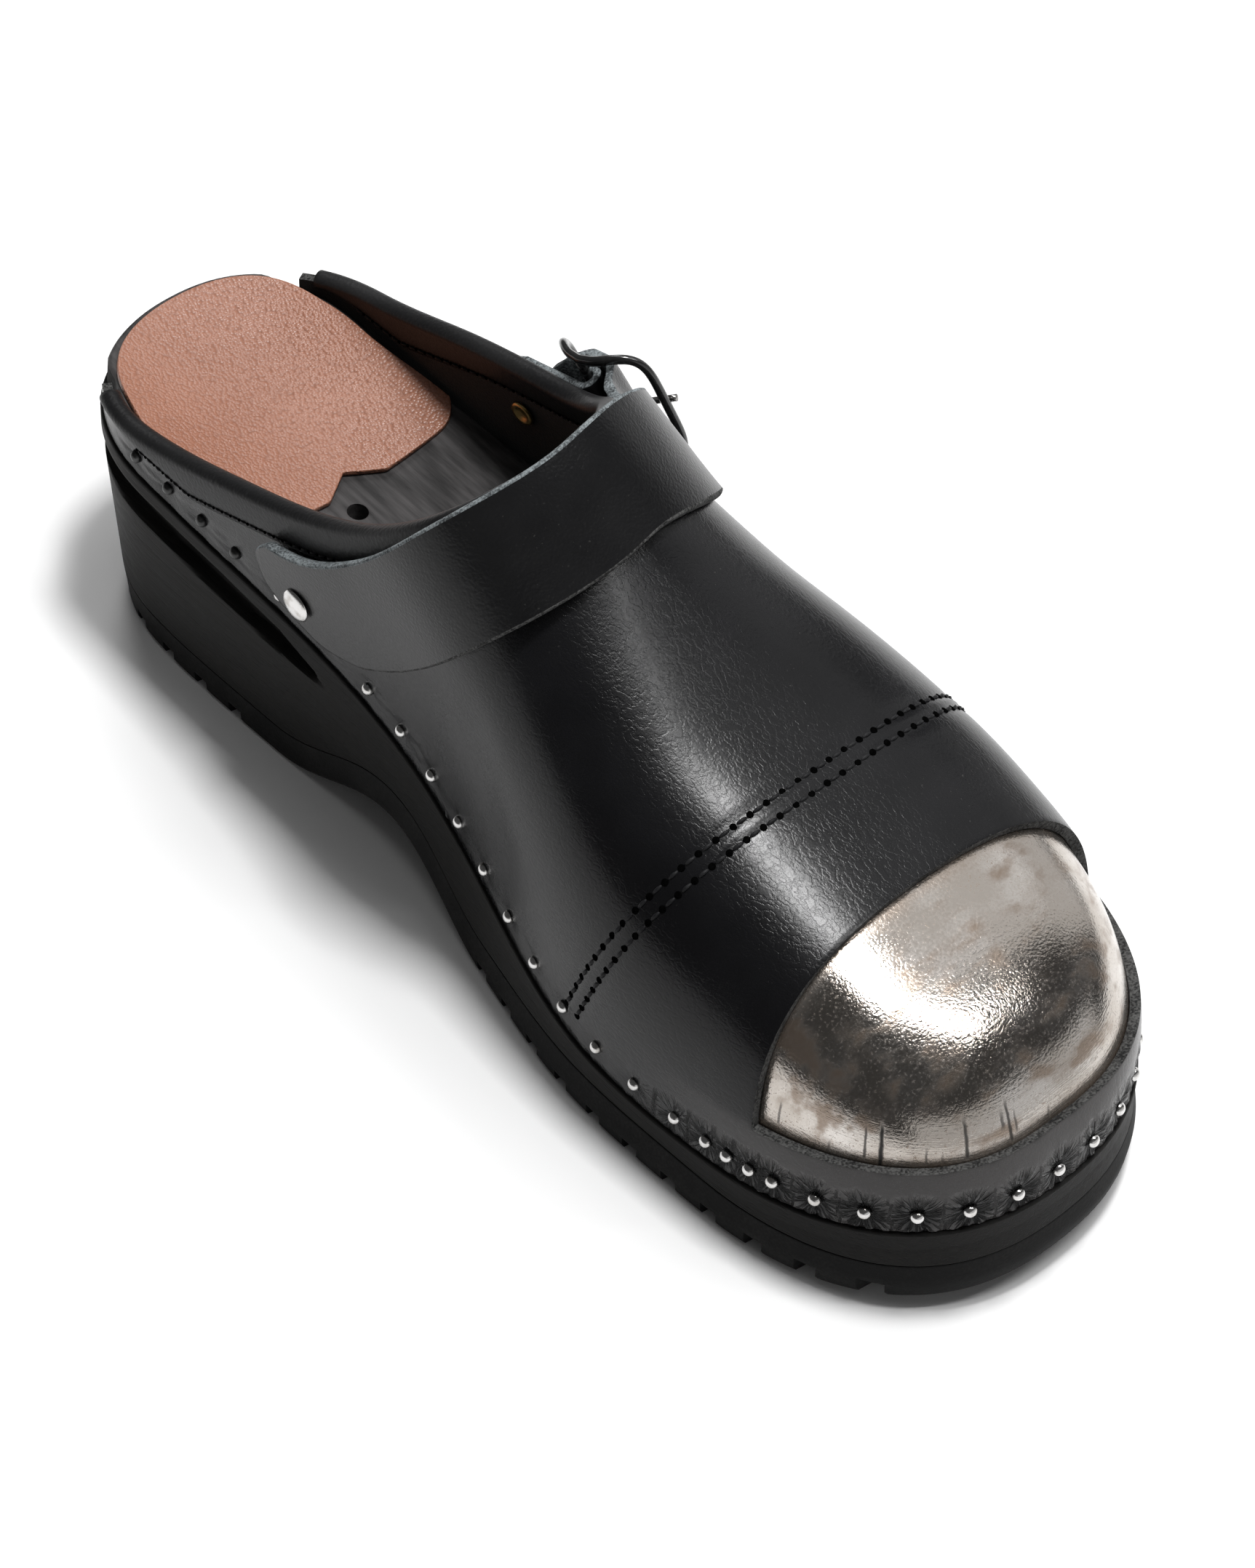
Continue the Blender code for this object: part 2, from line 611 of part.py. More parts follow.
def make_binding():
    """Binding folded over the topline, a U in section."""
    line, height = collar_line()
    normal = onto_last(line)[1]
    along = unit(np.gradient(line, axis=0))
    down = unit(np.cross(normal, along))
    down *= -np.sign(down[:, 2].mean())
    outer = np.clip(height - 8.4, 1.0, BINDING_WIDTH)
    inner = np.clip(height - FOOTBED_RIM - 2.5, 1.0, BINDING_WIDTH)
    near = 2.5 * GAP
    far = near + BINDING
    middle = LEATHER / 2
    section = []
    for stand, turns in ((far, (20, 60, 90, 120, 160)), (near, (160, 90, 20))):
        legs = [(outer * share, stand) for share in (1.0, 0.5, 0.0)]
        back = [(inner * share, -(LEATHER + stand)) for share in (0.0, 0.5, 1.0)]
        bend = []
        for turn in turns:
            reach = middle + stand
            angle = math.radians(turn)
            bend.append((-reach * math.sin(angle), reach * math.cos(angle) - middle))
        section += legs + bend + back if stand == far else back[::-1] + bend + legs[::-1]
    rows = []
    for drop, stand in section:
        drop = np.broadcast_to(drop, (len(line),))[:, None]
        spot = line + down * np.maximum(drop, 0)
        rows.append(onto_last(spot, stand)[0] + down * np.minimum(drop, 0))
    mesh = bmesh.new()
    loft(mesh, list(np.stack(rows, 1)))
    bmesh.ops.remove_doubles(mesh, verts=mesh.verts, dist=0.001)
    close_ends(mesh)
    return finish("collar_binding", mesh, BLACK_LEATHER)


def close_ends(mesh):
    """Fill the open ends of a lofted tube."""
    rim = [edge for edge in mesh.edges if edge.is_boundary]
    bmesh.ops.holes_fill(mesh, edges=rim, sides=0)


def strap_line():
    """The strap's middle line laid on the last: points, normals and ways along and across."""
    guide = np.array(STRAP_PATH)
    run = np.concatenate([[0], np.cumsum(np.linalg.norm(np.diff(guide, axis=0), axis=1))])
    at = np.linspace(0, run[-1], 401)
    line = np.stack([spline(run, guide[:, i])(at) for i in range(3)], -1)
    line[:, 1] -= SOLE_LENGTH / 2
    line, normal = onto_last(line)
    along = unit(np.gradient(line, axis=0))
    return line, normal, along, unit(np.cross(normal, along))


LINE, LINE_NORMAL, LINE_ALONG, LINE_ACROSS = strap_line()
LINE_RUN = np.concatenate([[0], np.cumsum(np.linalg.norm(np.diff(LINE, axis=0), axis=1))])
LINE_LENGTH = LINE_RUN[-1]
BUCKLE_RUN = BUCKLE_AT * LINE_LENGTH
UPPER_SIDE = float(np.sign(LINE_ACROSS[len(LINE) // 2, 1]))    # way across that leads to the collar


def line_at(table, run):
    return np.stack([np.interp(run, LINE_RUN, table[:, i]) for i in range(3)], -1)


def strap_point(run, across, stand):
    """Point on the strap's line at a length run, moved across and out from the last."""
    spot = line_at(LINE, run) + line_at(LINE_ACROSS, run) * np.reshape(across, (-1, 1))
    return onto_last(spot, stand)[0]


def strap_lift(run, across):
    """The strap's inner face above the last: a little off at its upper edge, and over the buckle's bar."""
    flat = np.interp(across / STRAP_WIDTH * UPPER_SIDE, (-0.5, 0.0, 0.5), STRAP_LIFT[::-1])
    t = run - BUCKLE_RUN
    rise = smooth(t, -18.0, -9.0)
    base = flat * (1 - rise) + np.maximum(flat, ANCHOR_LIFT + ANCHOR + GAP) * rise
    over = bar_height() + BAR_RADIUS + GAP + ANCHOR + 2 * GAP
    hump = smooth(t, -11.0, -3.0) * (1 - smooth(t, 3.0, 10.5))
    return base + (over - base) * hump


def bar_height():
    """Middle of the buckle's bar above the last."""
    return ANCHOR_LIFT + ANCHOR + GAP + BAR_RADIUS


def make_strap():
    """Strap from its medial end over the instep and through the buckle to its tail."""
    places, cuts = np.transpose(STRAP_END)
    end = BUCKLE_RUN + TAIL
    mesh = bmesh.new()

    def lie(u, v):
        across = (v - 0.5) * STRAP_WIDTH
        first = np.interp((v - 0.5) * UPPER_SIDE, places, cuts)
        last = end - 7.0 * np.abs(2 * v - 1) ** 4
        run = first + (last - first) * u
        return strap_point(run, across, strap_lift(run, across) + STRAP)

    patch(mesh, 54, 6, lie)
    strap = finish("strap", mesh, BLACK_LEATHER, STRAP, (0.0, 0.0, 30.0))
    cut(strap, hole_cutter("strap_rivet_hole", MEDIAL_RIVET * LINE_LENGTH, RIVET_SHANK + 0.4))
    for i in (1, 2):
        cut(strap, hole_cutter(f"strap_hole_{i}", BUCKLE_RUN - 5.0 - i * HOLE_STEP, 1.6))
    cut(strap, prong_tube("prong_hole", PRONG + 0.5, None, CUTTERS))
    return strap


def hole_cutter(name, run, radius):
    """Round cutter along the last's normal at a length of the strap's line."""
    base = line_at(LINE, [run])[0]
    axis = Vector(line_at(LINE_NORMAL, [run])[0])
    mesh = bmesh.new()
    bmesh.ops.create_cone(mesh, cap_ends=True, segments=12, radius1=radius, radius2=radius, depth=40.0)
    bmesh.ops.rotate(mesh, verts=mesh.verts, matrix=axis.to_track_quat("Z", "X").to_matrix(), cent=(0, 0, 0))
    bmesh.ops.translate(mesh, verts=mesh.verts, vec=Vector(base))
    return finish(name, mesh, None, home=CUTTERS)


def make_anchor():
    """Short strap from the lateral rivet, folded round the buckle's bar."""
    far = LINE_LENGTH - 3.0
    radius = BAR_RADIUS + GAP + ANCHOR / 2
    flat = [(run, ANCHOR_LIFT + ANCHOR / 2) for run in np.linspace(far, BUCKLE_RUN, 10)[:-1]]
    turns = np.radians(np.linspace(270, 50, 10))
    fold = np.stack([BUCKLE_RUN + radius * np.cos(turns), bar_height() + radius * np.sin(turns)], -1)
    path = np.concatenate([flat, fold])
    mesh = bmesh.new()

    def lie(u, v):
        place = np.interp(u, np.linspace(0, 1, len(path)), np.arange(len(path)))
        run = np.interp(place, np.arange(len(path)), path[:, 0])
        stand = np.interp(place, np.arange(len(path)), path[:, 1])
        across = (v - 0.5) * ANCHOR_WIDTH
        run = run - 8.0 * np.abs(2 * v - 1) ** 4 * np.clip(1 - place / 3, 0, 1)
        return strap_point(run, across, stand)

    patch(mesh, len(path) - 1, 4, lie)
    anchor = finish("anchor_strap", mesh, BLACK_LEATHER, ANCHOR, (0.0, 0.0, 60.0))
    anchor.modifiers["wall"].offset = 0.0
    slot = bmesh.new()
    bmesh.ops.create_cube(slot, size=1.0)
    bmesh.ops.scale(slot, verts=slot.verts, vec=(14.0, 6.0, 14.0))
    seat(slot, BUCKLE_RUN - 2.0, bar_height() + 2.2)
    cut(anchor, finish("prong_slot", slot, None, home=CUTTERS))
    cut(anchor, hole_cutter("anchor_rivet_hole", LATERAL_RIVET * LINE_LENGTH, RIVET_SHANK + 0.4))
    return anchor


def seat(mesh, run, stand):
    """Set a mesh made at the origin onto the strap's line: its X goes along, Y across and Z out."""
    base = strap_point(np.array([run]), 0.0, stand)[0]
    ways = [line_at(table, [run])[0] for table in (LINE_ALONG, LINE_ACROSS, LINE_NORMAL)]
    for vert in mesh.verts:
        vert.co = Vector(base + ways[0] * vert.co.x + ways[1] * vert.co.y + ways[2] * vert.co.z)


def tube(mesh, path, radius, closed, sides=8):
    """Round tube along a path."""
    path = np.asarray(path, float)
    if closed:
        along = unit(np.roll(path, -1, 0) - np.roll(path, 1, 0))
    else:
        along = unit(np.gradient(path, axis=0))
    up = np.array([0.0, 0.0, 1.0]) - along * along[:, 2:3]
    weak = np.linalg.norm(up, axis=1) < 0.3
    up[weak] = (np.array([1.0, 0.0, 0.0]) - along * along[:, 0:1])[weak]
    up = unit(up)
    right = np.cross(along, up)
    turns = np.linspace(0, 2 * math.pi, sides, endpoint=False)
    stack = np.stack([path + radius * (math.cos(a) * right + math.sin(a) * up) for a in turns], 1)
    rows = list(stack) + ([stack[0]] if closed else [])
    loft(mesh, rows)
    bmesh.ops.remove_doubles(mesh, verts=mesh.verts, dist=0.001)
    if not closed:
        close_ends(mesh)


def make_buckle():
    """Domed frame with its bar."""
    turns = np.linspace(0, 2 * math.pi, 32, endpoint=False)
    power = 2 / 5
    t = FRAME_REACH * np.sign(np.cos(turns)) * np.abs(np.cos(turns)) ** power
    w = FRAME_HALF * np.sign(np.sin(turns)) * np.abs(np.sin(turns)) ** power
    rise = FRAME_RISE * (t / FRAME_REACH) ** 2
    mesh = bmesh.new()
    tube(mesh, np.stack([t, w, rise], -1), BAR_RADIUS, True)
    seat(mesh, BUCKLE_RUN, bar_height())
    frame = finish("buckle_frame", mesh, BLACK_METAL)
    mesh = bmesh.new()
    reach = FRAME_HALF - 0.3
    tube(mesh, np.stack([[0, 0], [-reach, reach], [0, 0]], -1), BAR_RADIUS * 0.8, False, 9)
    seat(mesh, BUCKLE_RUN, bar_height())
    bar = finish("buckle_bar", mesh, None, home=CUTTERS)
    cut(frame, bar)
    frame.modifiers["buckle_bar"].operation = "UNION"
    return frame


def prong_tube(name, thickness, material, home):
    """The prong's path, hooked round the bar and out over the frame, as a tube."""
    radius = BAR_RADIUS + GAP + PRONG
    hook = [(radius * math.cos(a), 0.0, radius * math.sin(a)) for a in np.radians(np.linspace(-150, 80, 9))]
    tip = (-FRAME_REACH - 2.0, 0.0, FRAME_RISE + BAR_RADIUS + PRONG + 6 * GAP)
    stem = [np.array(hook[-1]) + (np.array(tip) - np.array(hook[-1])) * share for share in (0.25, 0.6, 1.0)]
    mesh = bmesh.new()
    tube(mesh, np.array(hook + stem), thickness, False, 7)
    seat(mesh, BUCKLE_RUN, bar_height())
    return finish(name, mesh, material, home=home)


def circle(radius, height, turns):
    return np.stack([radius * np.cos(turns), radius * np.sin(turns), np.full_like(turns, height)], -1)


def make_rivet(name, run, layer, stand, material):
    """Rivet through a strap and the upper: domed head outside, flat ring inside."""
    outer = stand + layer + GAP
    inner = -(LEATHER + GAP)
    dome = ((0.0, 1.0), (0.5, 0.9), (0.85, 0.55), (1.0, 0.0))
    rings = [(RIVET_HEAD * r, outer + RIVET_RISE * z) for r, z in dome]
    rings += [(RIVET_SHANK, outer), (RIVET_SHANK, inner)]
    rings += [(RIVET_RING, inner), (RIVET_RING, inner - RIVET_BACK), (0.0, inner - RIVET_BACK)]
    turns = np.linspace(0, 2 * math.pi, 14, endpoint=False)
    mesh = bmesh.new()
    loft(mesh, [circle(r, z, turns) for r, z in rings])
    base = line_at(LINE, [run])[0]
    axis = Vector(line_at(LINE_NORMAL, [run])[0])
    bmesh.ops.rotate(mesh, verts=mesh.verts, matrix=axis.to_track_quat("Z", "X").to_matrix(), cent=(0, 0, 0))
    bmesh.ops.translate(mesh, verts=mesh.verts, vec=Vector(base))
    return finish(name, mesh, material)


def make_nails():
    """Nail heads round the leather's lower edge."""
    q = np.linspace(WING_END - 2.0, WINDOW_CORNER, 300)
    height = np.full_like(q, NAIL_HEIGHT)
    medial = last_point(q, np.arcsin((height / crown(q)) ** (section_power(q, -1.0) / 2)), -1.0)
    lateral = last_point(q, np.arcsin((height / crown(q)) ** (section_power(q, 1.0) / 2)), 1.0)
    share = np.linspace(0, 1, 200)
    toe = around_toe(WINDOW_CORNER, share, np.full_like(share, NAIL_HEIGHT))
    line = np.concatenate([medial, toe[1:-1], lateral[::-1]])
    run = np.concatenate([[0], np.cumsum(np.linalg.norm(np.diff(line, axis=0), axis=1))])
    at = np.concatenate([np.linspace(first, last, count) for first, last, count in NAIL_RUNS])
    spots, normals = onto_last(np.stack([np.interp(at, run, line[:, i]) for i in range(3)], -1))
    turns = np.linspace(0, 2 * math.pi, 6, endpoint=False)
    rings = ((0.0, GAP), (1.0, GAP), (0.85, GAP + 0.6 * NAIL_RISE), (0.0, GAP + NAIL_RISE))
    for i, (spot, normal) in enumerate(zip(spots, normals)):
        mesh = bmesh.new()
        loft(mesh, [circle(NAIL_RADIUS * r, z, turns) for r, z in rings])
        turn = Vector(normal).to_track_quat("Z", "Y").to_matrix()
        bmesh.ops.rotate(mesh, verts=mesh.verts, matrix=turn, cent=(0, 0, 0))
        bmesh.ops.translate(mesh, verts=mesh.verts, vec=Vector(spot))
        finish(f"nail_{i + 1:02d}", mesh, BARE_STEEL)


upper = make_upper()
cut(upper, hole_cutter("upper_medial_hole", MEDIAL_RIVET * LINE_LENGTH, RIVET_SHANK + 0.4))
cut(upper, hole_cutter("upper_lateral_hole", LATERAL_RIVET * LINE_LENGTH, RIVET_SHANK + 0.4))
make_cap()
make_wood()
make_outsole()
make_sock()
make_binding()
make_strap()
make_anchor()
make_buckle()
prong_tube("buckle_prong", PRONG, BLACK_METAL, CLOG)
rivet_run = MEDIAL_RIVET * LINE_LENGTH
make_rivet("rivet_medial", rivet_run, STRAP, float(strap_lift(rivet_run, 0.0)) + 0.3, BARE_STEEL)
make_rivet("rivet_lateral", LATERAL_RIVET * LINE_LENGTH, ANCHOR, ANCHOR_LIFT + 0.3, BRASS)
make_nails()


def centre_on_floor():
    """Move every object so that the shoe's box stands centred over the origin."""
    bpy.context.view_layer.update()
    graph = bpy.context.evaluated_depsgraph_get()
    corners = []
    for made in CLOG.objects:
        ready = made.evaluated_get(graph)
        corners += [ready.matrix_world @ Vector(corner) for corner in ready.bound_box]
    low = [min(corner[i] for corner in corners) for i in range(3)]
    high = [max(corner[i] for corner in corners) for i in range(3)]
    shift = Vector((-(low[0] + high[0]) / 2, -(low[1] + high[1]) / 2, -low[2]))
    for made in list(CLOG.objects) + list(CUTTERS.objects):
        made.location += shift
    return shift


SHIFT = centre_on_floor()
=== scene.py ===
"""Looks of the safety clog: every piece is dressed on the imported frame, from the same last as the solids.

Lengths are in millimetres in the last's own frame and become metres in the row frame at the end.
The toe points to -Y, the heel to +Y, the medial side is -X and the sole stands on Z = 0.
"""

import logging
import math
from collections.abc import Callable, Sequence
from dataclasses import dataclass, field
from enum import Enum
from typing import Any

import bmesh
import bpy
import numpy as np
from mathutils import Matrix, Vector


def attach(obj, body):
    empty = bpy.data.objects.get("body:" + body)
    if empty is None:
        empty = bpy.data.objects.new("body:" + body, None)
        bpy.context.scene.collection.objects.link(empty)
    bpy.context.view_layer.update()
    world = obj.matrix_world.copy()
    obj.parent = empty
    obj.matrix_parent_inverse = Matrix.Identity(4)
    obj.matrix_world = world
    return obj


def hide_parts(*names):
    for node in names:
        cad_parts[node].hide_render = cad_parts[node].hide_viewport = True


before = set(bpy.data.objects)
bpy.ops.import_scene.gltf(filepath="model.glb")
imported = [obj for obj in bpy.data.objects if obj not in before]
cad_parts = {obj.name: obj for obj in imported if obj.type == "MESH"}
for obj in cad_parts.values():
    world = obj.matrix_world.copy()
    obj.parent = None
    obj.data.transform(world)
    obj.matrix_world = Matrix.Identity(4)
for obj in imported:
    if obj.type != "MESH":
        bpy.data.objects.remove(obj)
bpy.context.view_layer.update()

LOG = logging.getLogger("clog")
Array = np.ndarray
Triple = tuple[float, float, float]
Colour = Triple
Marks = dict[str, Array]
MM = 0.001
SHIFT = np.array((-0.0718, 0.7079, 0.0))    # last frame to row frame
BODY = "root"
PHOTO_WIDTH, PHOTO_HEIGHT = 1725, 2156
GAP = 0.3               # left between neighbouring pieces
ROUND_EDGE = 0.5        # how far a cut leather edge swells out
FINE_WELD = 0.001       # joins only the points that coincide
QUARTER = math.pi / 2
STITCH_POINTS = 6
SHADE_DISC_RISE = 0.22        # lifts the black disc painted as a stitch hole's shade over the troughs of the seam
SHADE_DISC_PROFILE = ((0.0, 0.05), (0.8, 0.05), (1.0, 0.0), (1.0, -0.3), (0.0, -0.5))    # radius share, height of the black disc painted as a stitch hole's shade


class Side(Enum):
    """Side of the left shoe, as the sign of X."""

    MEDIAL = -1.0
    LATERAL = 1.0


# Numbers and curves


class Spline:
    """Natural cubic curve through given points."""

    def __init__(self, xs: Sequence[float], ys: Sequence[float]) -> None:
        """Work out the bend at each point.

        Args:
            xs: Rising positions.
            ys: The value at each position.
        """
        self.xs, self.ys = np.asarray(xs, float), np.asarray(ys, float)
        self.step = np.diff(self.xs)
        count = len(self.xs)
        system, right = np.eye(count), np.zeros(count)
        slope = np.diff(self.ys) / self.step
        for i in range(1, count - 1):
            system[i, i - 1:i + 2] = self.step[i - 1], 2 * (self.step[i - 1] + self.step[i]), self.step[i]
            right[i] = 6 * (slope[i] - slope[i - 1])
        self.bend = np.linalg.solve(system, right)

    def __call__(self, x: Any) -> Array:
        """Value of the curve at x."""
        x = np.clip(np.asarray(x, float), self.xs[0], self.xs[-1])
        i = np.clip(np.searchsorted(self.xs, x) - 1, 0, len(self.xs) - 2)
        a = (self.xs[i + 1] - x) / self.step[i]
        b = 1 - a
        curl = (a ** 3 - a) * self.bend[i] + (b ** 3 - b) * self.bend[i + 1]
        return a * self.ys[i] + b * self.ys[i + 1] + curl * self.step[i] ** 2 / 6


def smooth(x: Any, low: float, high: float) -> Array:
    """Smooth step from 0 at low to 1 at high."""
    t = np.clip((np.asarray(x, float) - low) / (high - low), 0, 1)
    return t * t * (3 - 2 * t)


def bell(x: Any, width: float) -> Array:
    """Bell curve of height 1 and the given width."""
    return np.exp(-(np.asarray(x, float) / width) ** 2)


def unit(vectors: Array) -> Array:
    """Vectors of length 1."""
    return vectors / np.maximum(np.linalg.norm(vectors, axis=-1, keepdims=True), 1e-9)


def closing(distance: Any, reach: float, power: float) -> Array:
    """Rounding of an end: 0 at the tip and 1 from reach on."""
    left = np.clip(1 - np.asarray(distance, float) / reach, 0, 1)
    return (1 - left ** power) ** (1 / power)


def run_of(line: Array) -> Array:
    """Length along a line at each of its points."""
    return np.concatenate([[0.0], np.cumsum(np.linalg.norm(np.diff(line, axis=0), axis=1))])


def along_line(line: Array, at: Any) -> Array:
    """Points of a line at given lengths."""
    run = run_of(line)
    return np.stack([np.interp(at, run, line[:, i]) for i in range(line.shape[1])], -1)


def spread(rows: int, columns: int) -> tuple[Array, Array]:
    """Shares from 0 to 1 down the rows and along the columns of a grid."""
    down, along = np.meshgrid(np.linspace(0, 1, rows), np.linspace(0, 1, columns), indexing="ij")
    return down, along


def heading(turn: Array) -> Array:
    """Level ways at turns from the way to the toe."""
    return np.stack([np.sin(turn), -np.cos(turn), np.zeros_like(turn)], -1)


@dataclass
class Last:
    """The foot form that every curved piece is worked out from."""

    length: float = 285.0
    toe: tuple[float, float] = (56.0, 2.3)
    heel: tuple[float, float] = (37.0, 2.2)
    crown_end: tuple[float, float] = (43.0, 2.4)
    columns: tuple[str, ...] = (
        "from_toe", "centre", "half_width", "feather", "ridge", "lean", "medial_power", "lateral_power",
    )
    sections: tuple[tuple[float, ...], ...] = (
        (0.0, -8.6, 47.4, 24.0, 59.0, 0.0, 3.0, 3.0),
        (30.0, -4.9, 48.6, 18.8, 62.5, -0.8, 3.0, 3.0),
        (60.0, -1.7, 51.6, 15.0, 70.0, -3.0, 2.95, 2.95),
        (95.0, 0.7, 52.8, 16.0, 80.5, -5.6, 2.85, 2.55),
        (125.0, 3.0, 48.1, 22.2, 96.0, -8.5, 2.8, 1.95),
        (155.0, 1.9, 40.4, 32.5, 118.0, -11.0, 2.8, 1.7),
        (190.0, -0.9, 36.0, 43.0, 127.0, -12.0, 2.8, 1.9),
        (230.0, -2.5, 34.2, 48.2, 131.0, -12.0, 2.8, 2.2),
        (265.0, -1.5, 34.2, 51.3, 133.0, -12.0, 2.8, 2.3),
        (285.0, 0.0, 35.5, 52.4, 134.0, -12.0, 2.8, 2.3),
    )
    curves: dict[str, Spline] = field(init=False)

    def __post_init__(self) -> None:
        """Fit a curve through each column of the sections."""
        stations = [row[0] for row in self.sections]
        self.curves = {
            name: Spline(stations, [row[i] for row in self.sections]) for i, name in enumerate(self.columns)
        }

    def feather(self, q: Any) -> Array:
        """Height of the leather's lower edge at a station."""
        return self.curves["feather"](q)

    def centre(self, q: Any) -> Array:
        """Middle of the section at a station."""
        return self.curves["centre"](q)

    def half_width(self, q: Any) -> Array:
        """Half width of the plan at a station."""
        ends = closing(q, *self.toe) * closing(self.length - np.asarray(q, float), *self.heel)
        return self.curves["half_width"](q) * ends

    def crown(self, q: Any) -> Array:
        """Height of the crown above the leather's lower edge."""
        return (self.curves["ridge"](q) - self.feather(q)) * closing(q, *self.crown_end)

    def power(self, q: Any, side: Any) -> Array:
        """Power of the section on a side; both sides are alike round the toe."""
        medial = self.curves["medial_power"](q)
        lateral = medial + (self.curves["lateral_power"](q) - medial) * smooth(q, 50, 70)
        return np.where(np.asarray(side) < 0, medial, lateral)

    def point(self, q: Any, angle: Any, side: Any) -> Array:
        """Point of the last.

        Args:
            q: Station, measured from the toe tip.
            angle: 0 at the leather's lower edge and a quarter turn at the crown.
            side: Sign of X.

        Returns:
            The point or points.
        """
        power = self.power(q, side)
        rise = np.maximum(np.sin(angle), 0) ** (2 / power)
        reach = np.maximum(np.cos(angle), 0) ** (2 / power)
        x = self.centre(q) + self.curves["lean"](q) * rise ** 2 + side * self.half_width(q) * reach
        return np.stack([x, q - self.length / 2, self.feather(q) + rise * self.crown(q)], -1)

    def angle_at(self, q: Any, height: Any, side: Any) -> Array:
        """Section angle at a height above the leather's lower edge."""
        share = np.clip(height / self.crown(q), 0, 1)
        return np.arcsin(share ** (self.power(q, side) / 2))

    def outside(self, x: Array, q: Array, height: Array) -> Array:
        """Below 0 inside the last and above 0 outside it."""
        share = np.maximum(height, 0) / np.maximum(self.crown(q), 1e-3)
        lean = self.curves["lean"](q) * share ** 2
        across = (x - self.centre(q) - lean) / np.maximum(self.half_width(q), 1e-3)
        power = self.power(q, across)
        return np.abs(across) ** power + share ** power - 1

    def ray_hit(self, start: Array, way: Array) -> Array:
        """Length along each way from each start, both as x, station and height, to the last's surface."""
        low, high = np.zeros(len(way)), np.full(len(way), 150.0)
        for _ in range(40):
            middle = (low + high) / 2
            spot = start + way * middle[:, None]
            out = self.outside(spot[:, 0], spot[:, 1], spot[:, 2]) > 0
            low, high = np.where(out, low, middle), np.where(out, middle, high)
        return low

    def value(self, points: Array) -> Array:
        """Outside value at points of the last frame."""
        q = points[:, 1] + self.length / 2
        return self.outside(points[:, 0], q, points[:, 2] - self.feather(q))

    def gradient(self, points: Array) -> Array:
        """Slope of the outside value."""
        step = 0.05 * np.eye(3)
        return np.stack([(self.value(points + way) - self.value(points - way)) / 0.1 for way in step], -1)

    def onto(self, points: Array, stand: Any = 0.0) -> tuple[Array, Array]:
        """Move points to the last's surface and out from it.

        Args:
            points: Points near the last.
            stand: How far out each one goes.

        Returns:
            The moved points and the last's normals there.
        """
        for _ in range(8):
            slope = self.gradient(points)
            points = points - slope * (self.value(points) / np.maximum((slope ** 2).sum(-1), 1e-12))[:, None]
        normal = unit(self.gradient(points))
        return points + normal * np.reshape(stand, (-1, 1)), normal

    def around_toe(self, station: float, share: Array, height: Array) -> Array:
        """Points round the toe at a height, from the medial side at a station to the lateral one."""
        turn = (share - 0.5) * math.pi
        lean = self.curves["lean"](station) * (height / self.crown(station)) ** 2
        start = np.stack([self.centre(station) + lean, np.full_like(turn, station), height], -1)
        way = heading(turn)
        spot = start + way * self.ray_hit(start, way)[:, None]
        return self.set_down(spot, self.feather(spot[:, 1]) + height)

    def middle_line(self, q: Array) -> Array:
        """Points of the middle line at stations, as x, station and height."""
        return np.stack([self.centre(q), q, np.zeros_like(q)], -1)

    def set_down(self, spot: Array, height: Array) -> Array:
        """Points in the last frame from their x, station and a height."""
        return np.stack([spot[:, 0], spot[:, 1] - self.length / 2, height], -1)


# Shader expressions


class Wire:
    """A node's output that takes part in Python expressions; each one adds its Math node."""

    def __init__(self, paint: "Paint", socket: bpy.types.NodeSocket) -> None:
        """Keep the tree and the socket."""
        self.paint, self.socket = paint, socket

    def maths(self, operation: str, first: Any, second: Any = 0.0) -> "Wire":
        """Math node of an operation on two values."""
        return self.paint.node("ShaderNodeMath", {"operation": operation}, {0: first, 1: second})

    def __add__(self, other: Any) -> "Wire":
        """Sum."""
        return self.maths("ADD", self, other)

    def __radd__(self, other: Any) -> "Wire":
        """Sum, with the wire on the right."""
        return self.maths("ADD", other, self)

    def __sub__(self, other: Any) -> "Wire":
        """Difference."""
        return self.maths("SUBTRACT", self, other)

    def __rsub__(self, other: Any) -> "Wire":
        """Difference, with the wire on the right."""
        return self.maths("SUBTRACT", other, self)

    def __mul__(self, other: Any) -> "Wire":
        """Product."""
        return self.maths("MULTIPLY", self, other)

    def __abs__(self) -> "Wire":
        """Size without the sign."""
        return self.maths("ABSOLUTE", self)

    def most(self, other: Any) -> "Wire":
        """The larger of two values."""
        return self.maths("MAXIMUM", self, other)

    def step(self, low: float, high: float) -> "Wire":
        """Smooth step from 0 at low to 1 at high; low may be the larger one."""
        limits = {0: self, 1: low, 2: high, 3: 0.0, 4: 1.0}
        return self.paint.node("ShaderNodeMapRange", {"interpolation_type": "SMOOTHSTEP"}, limits)


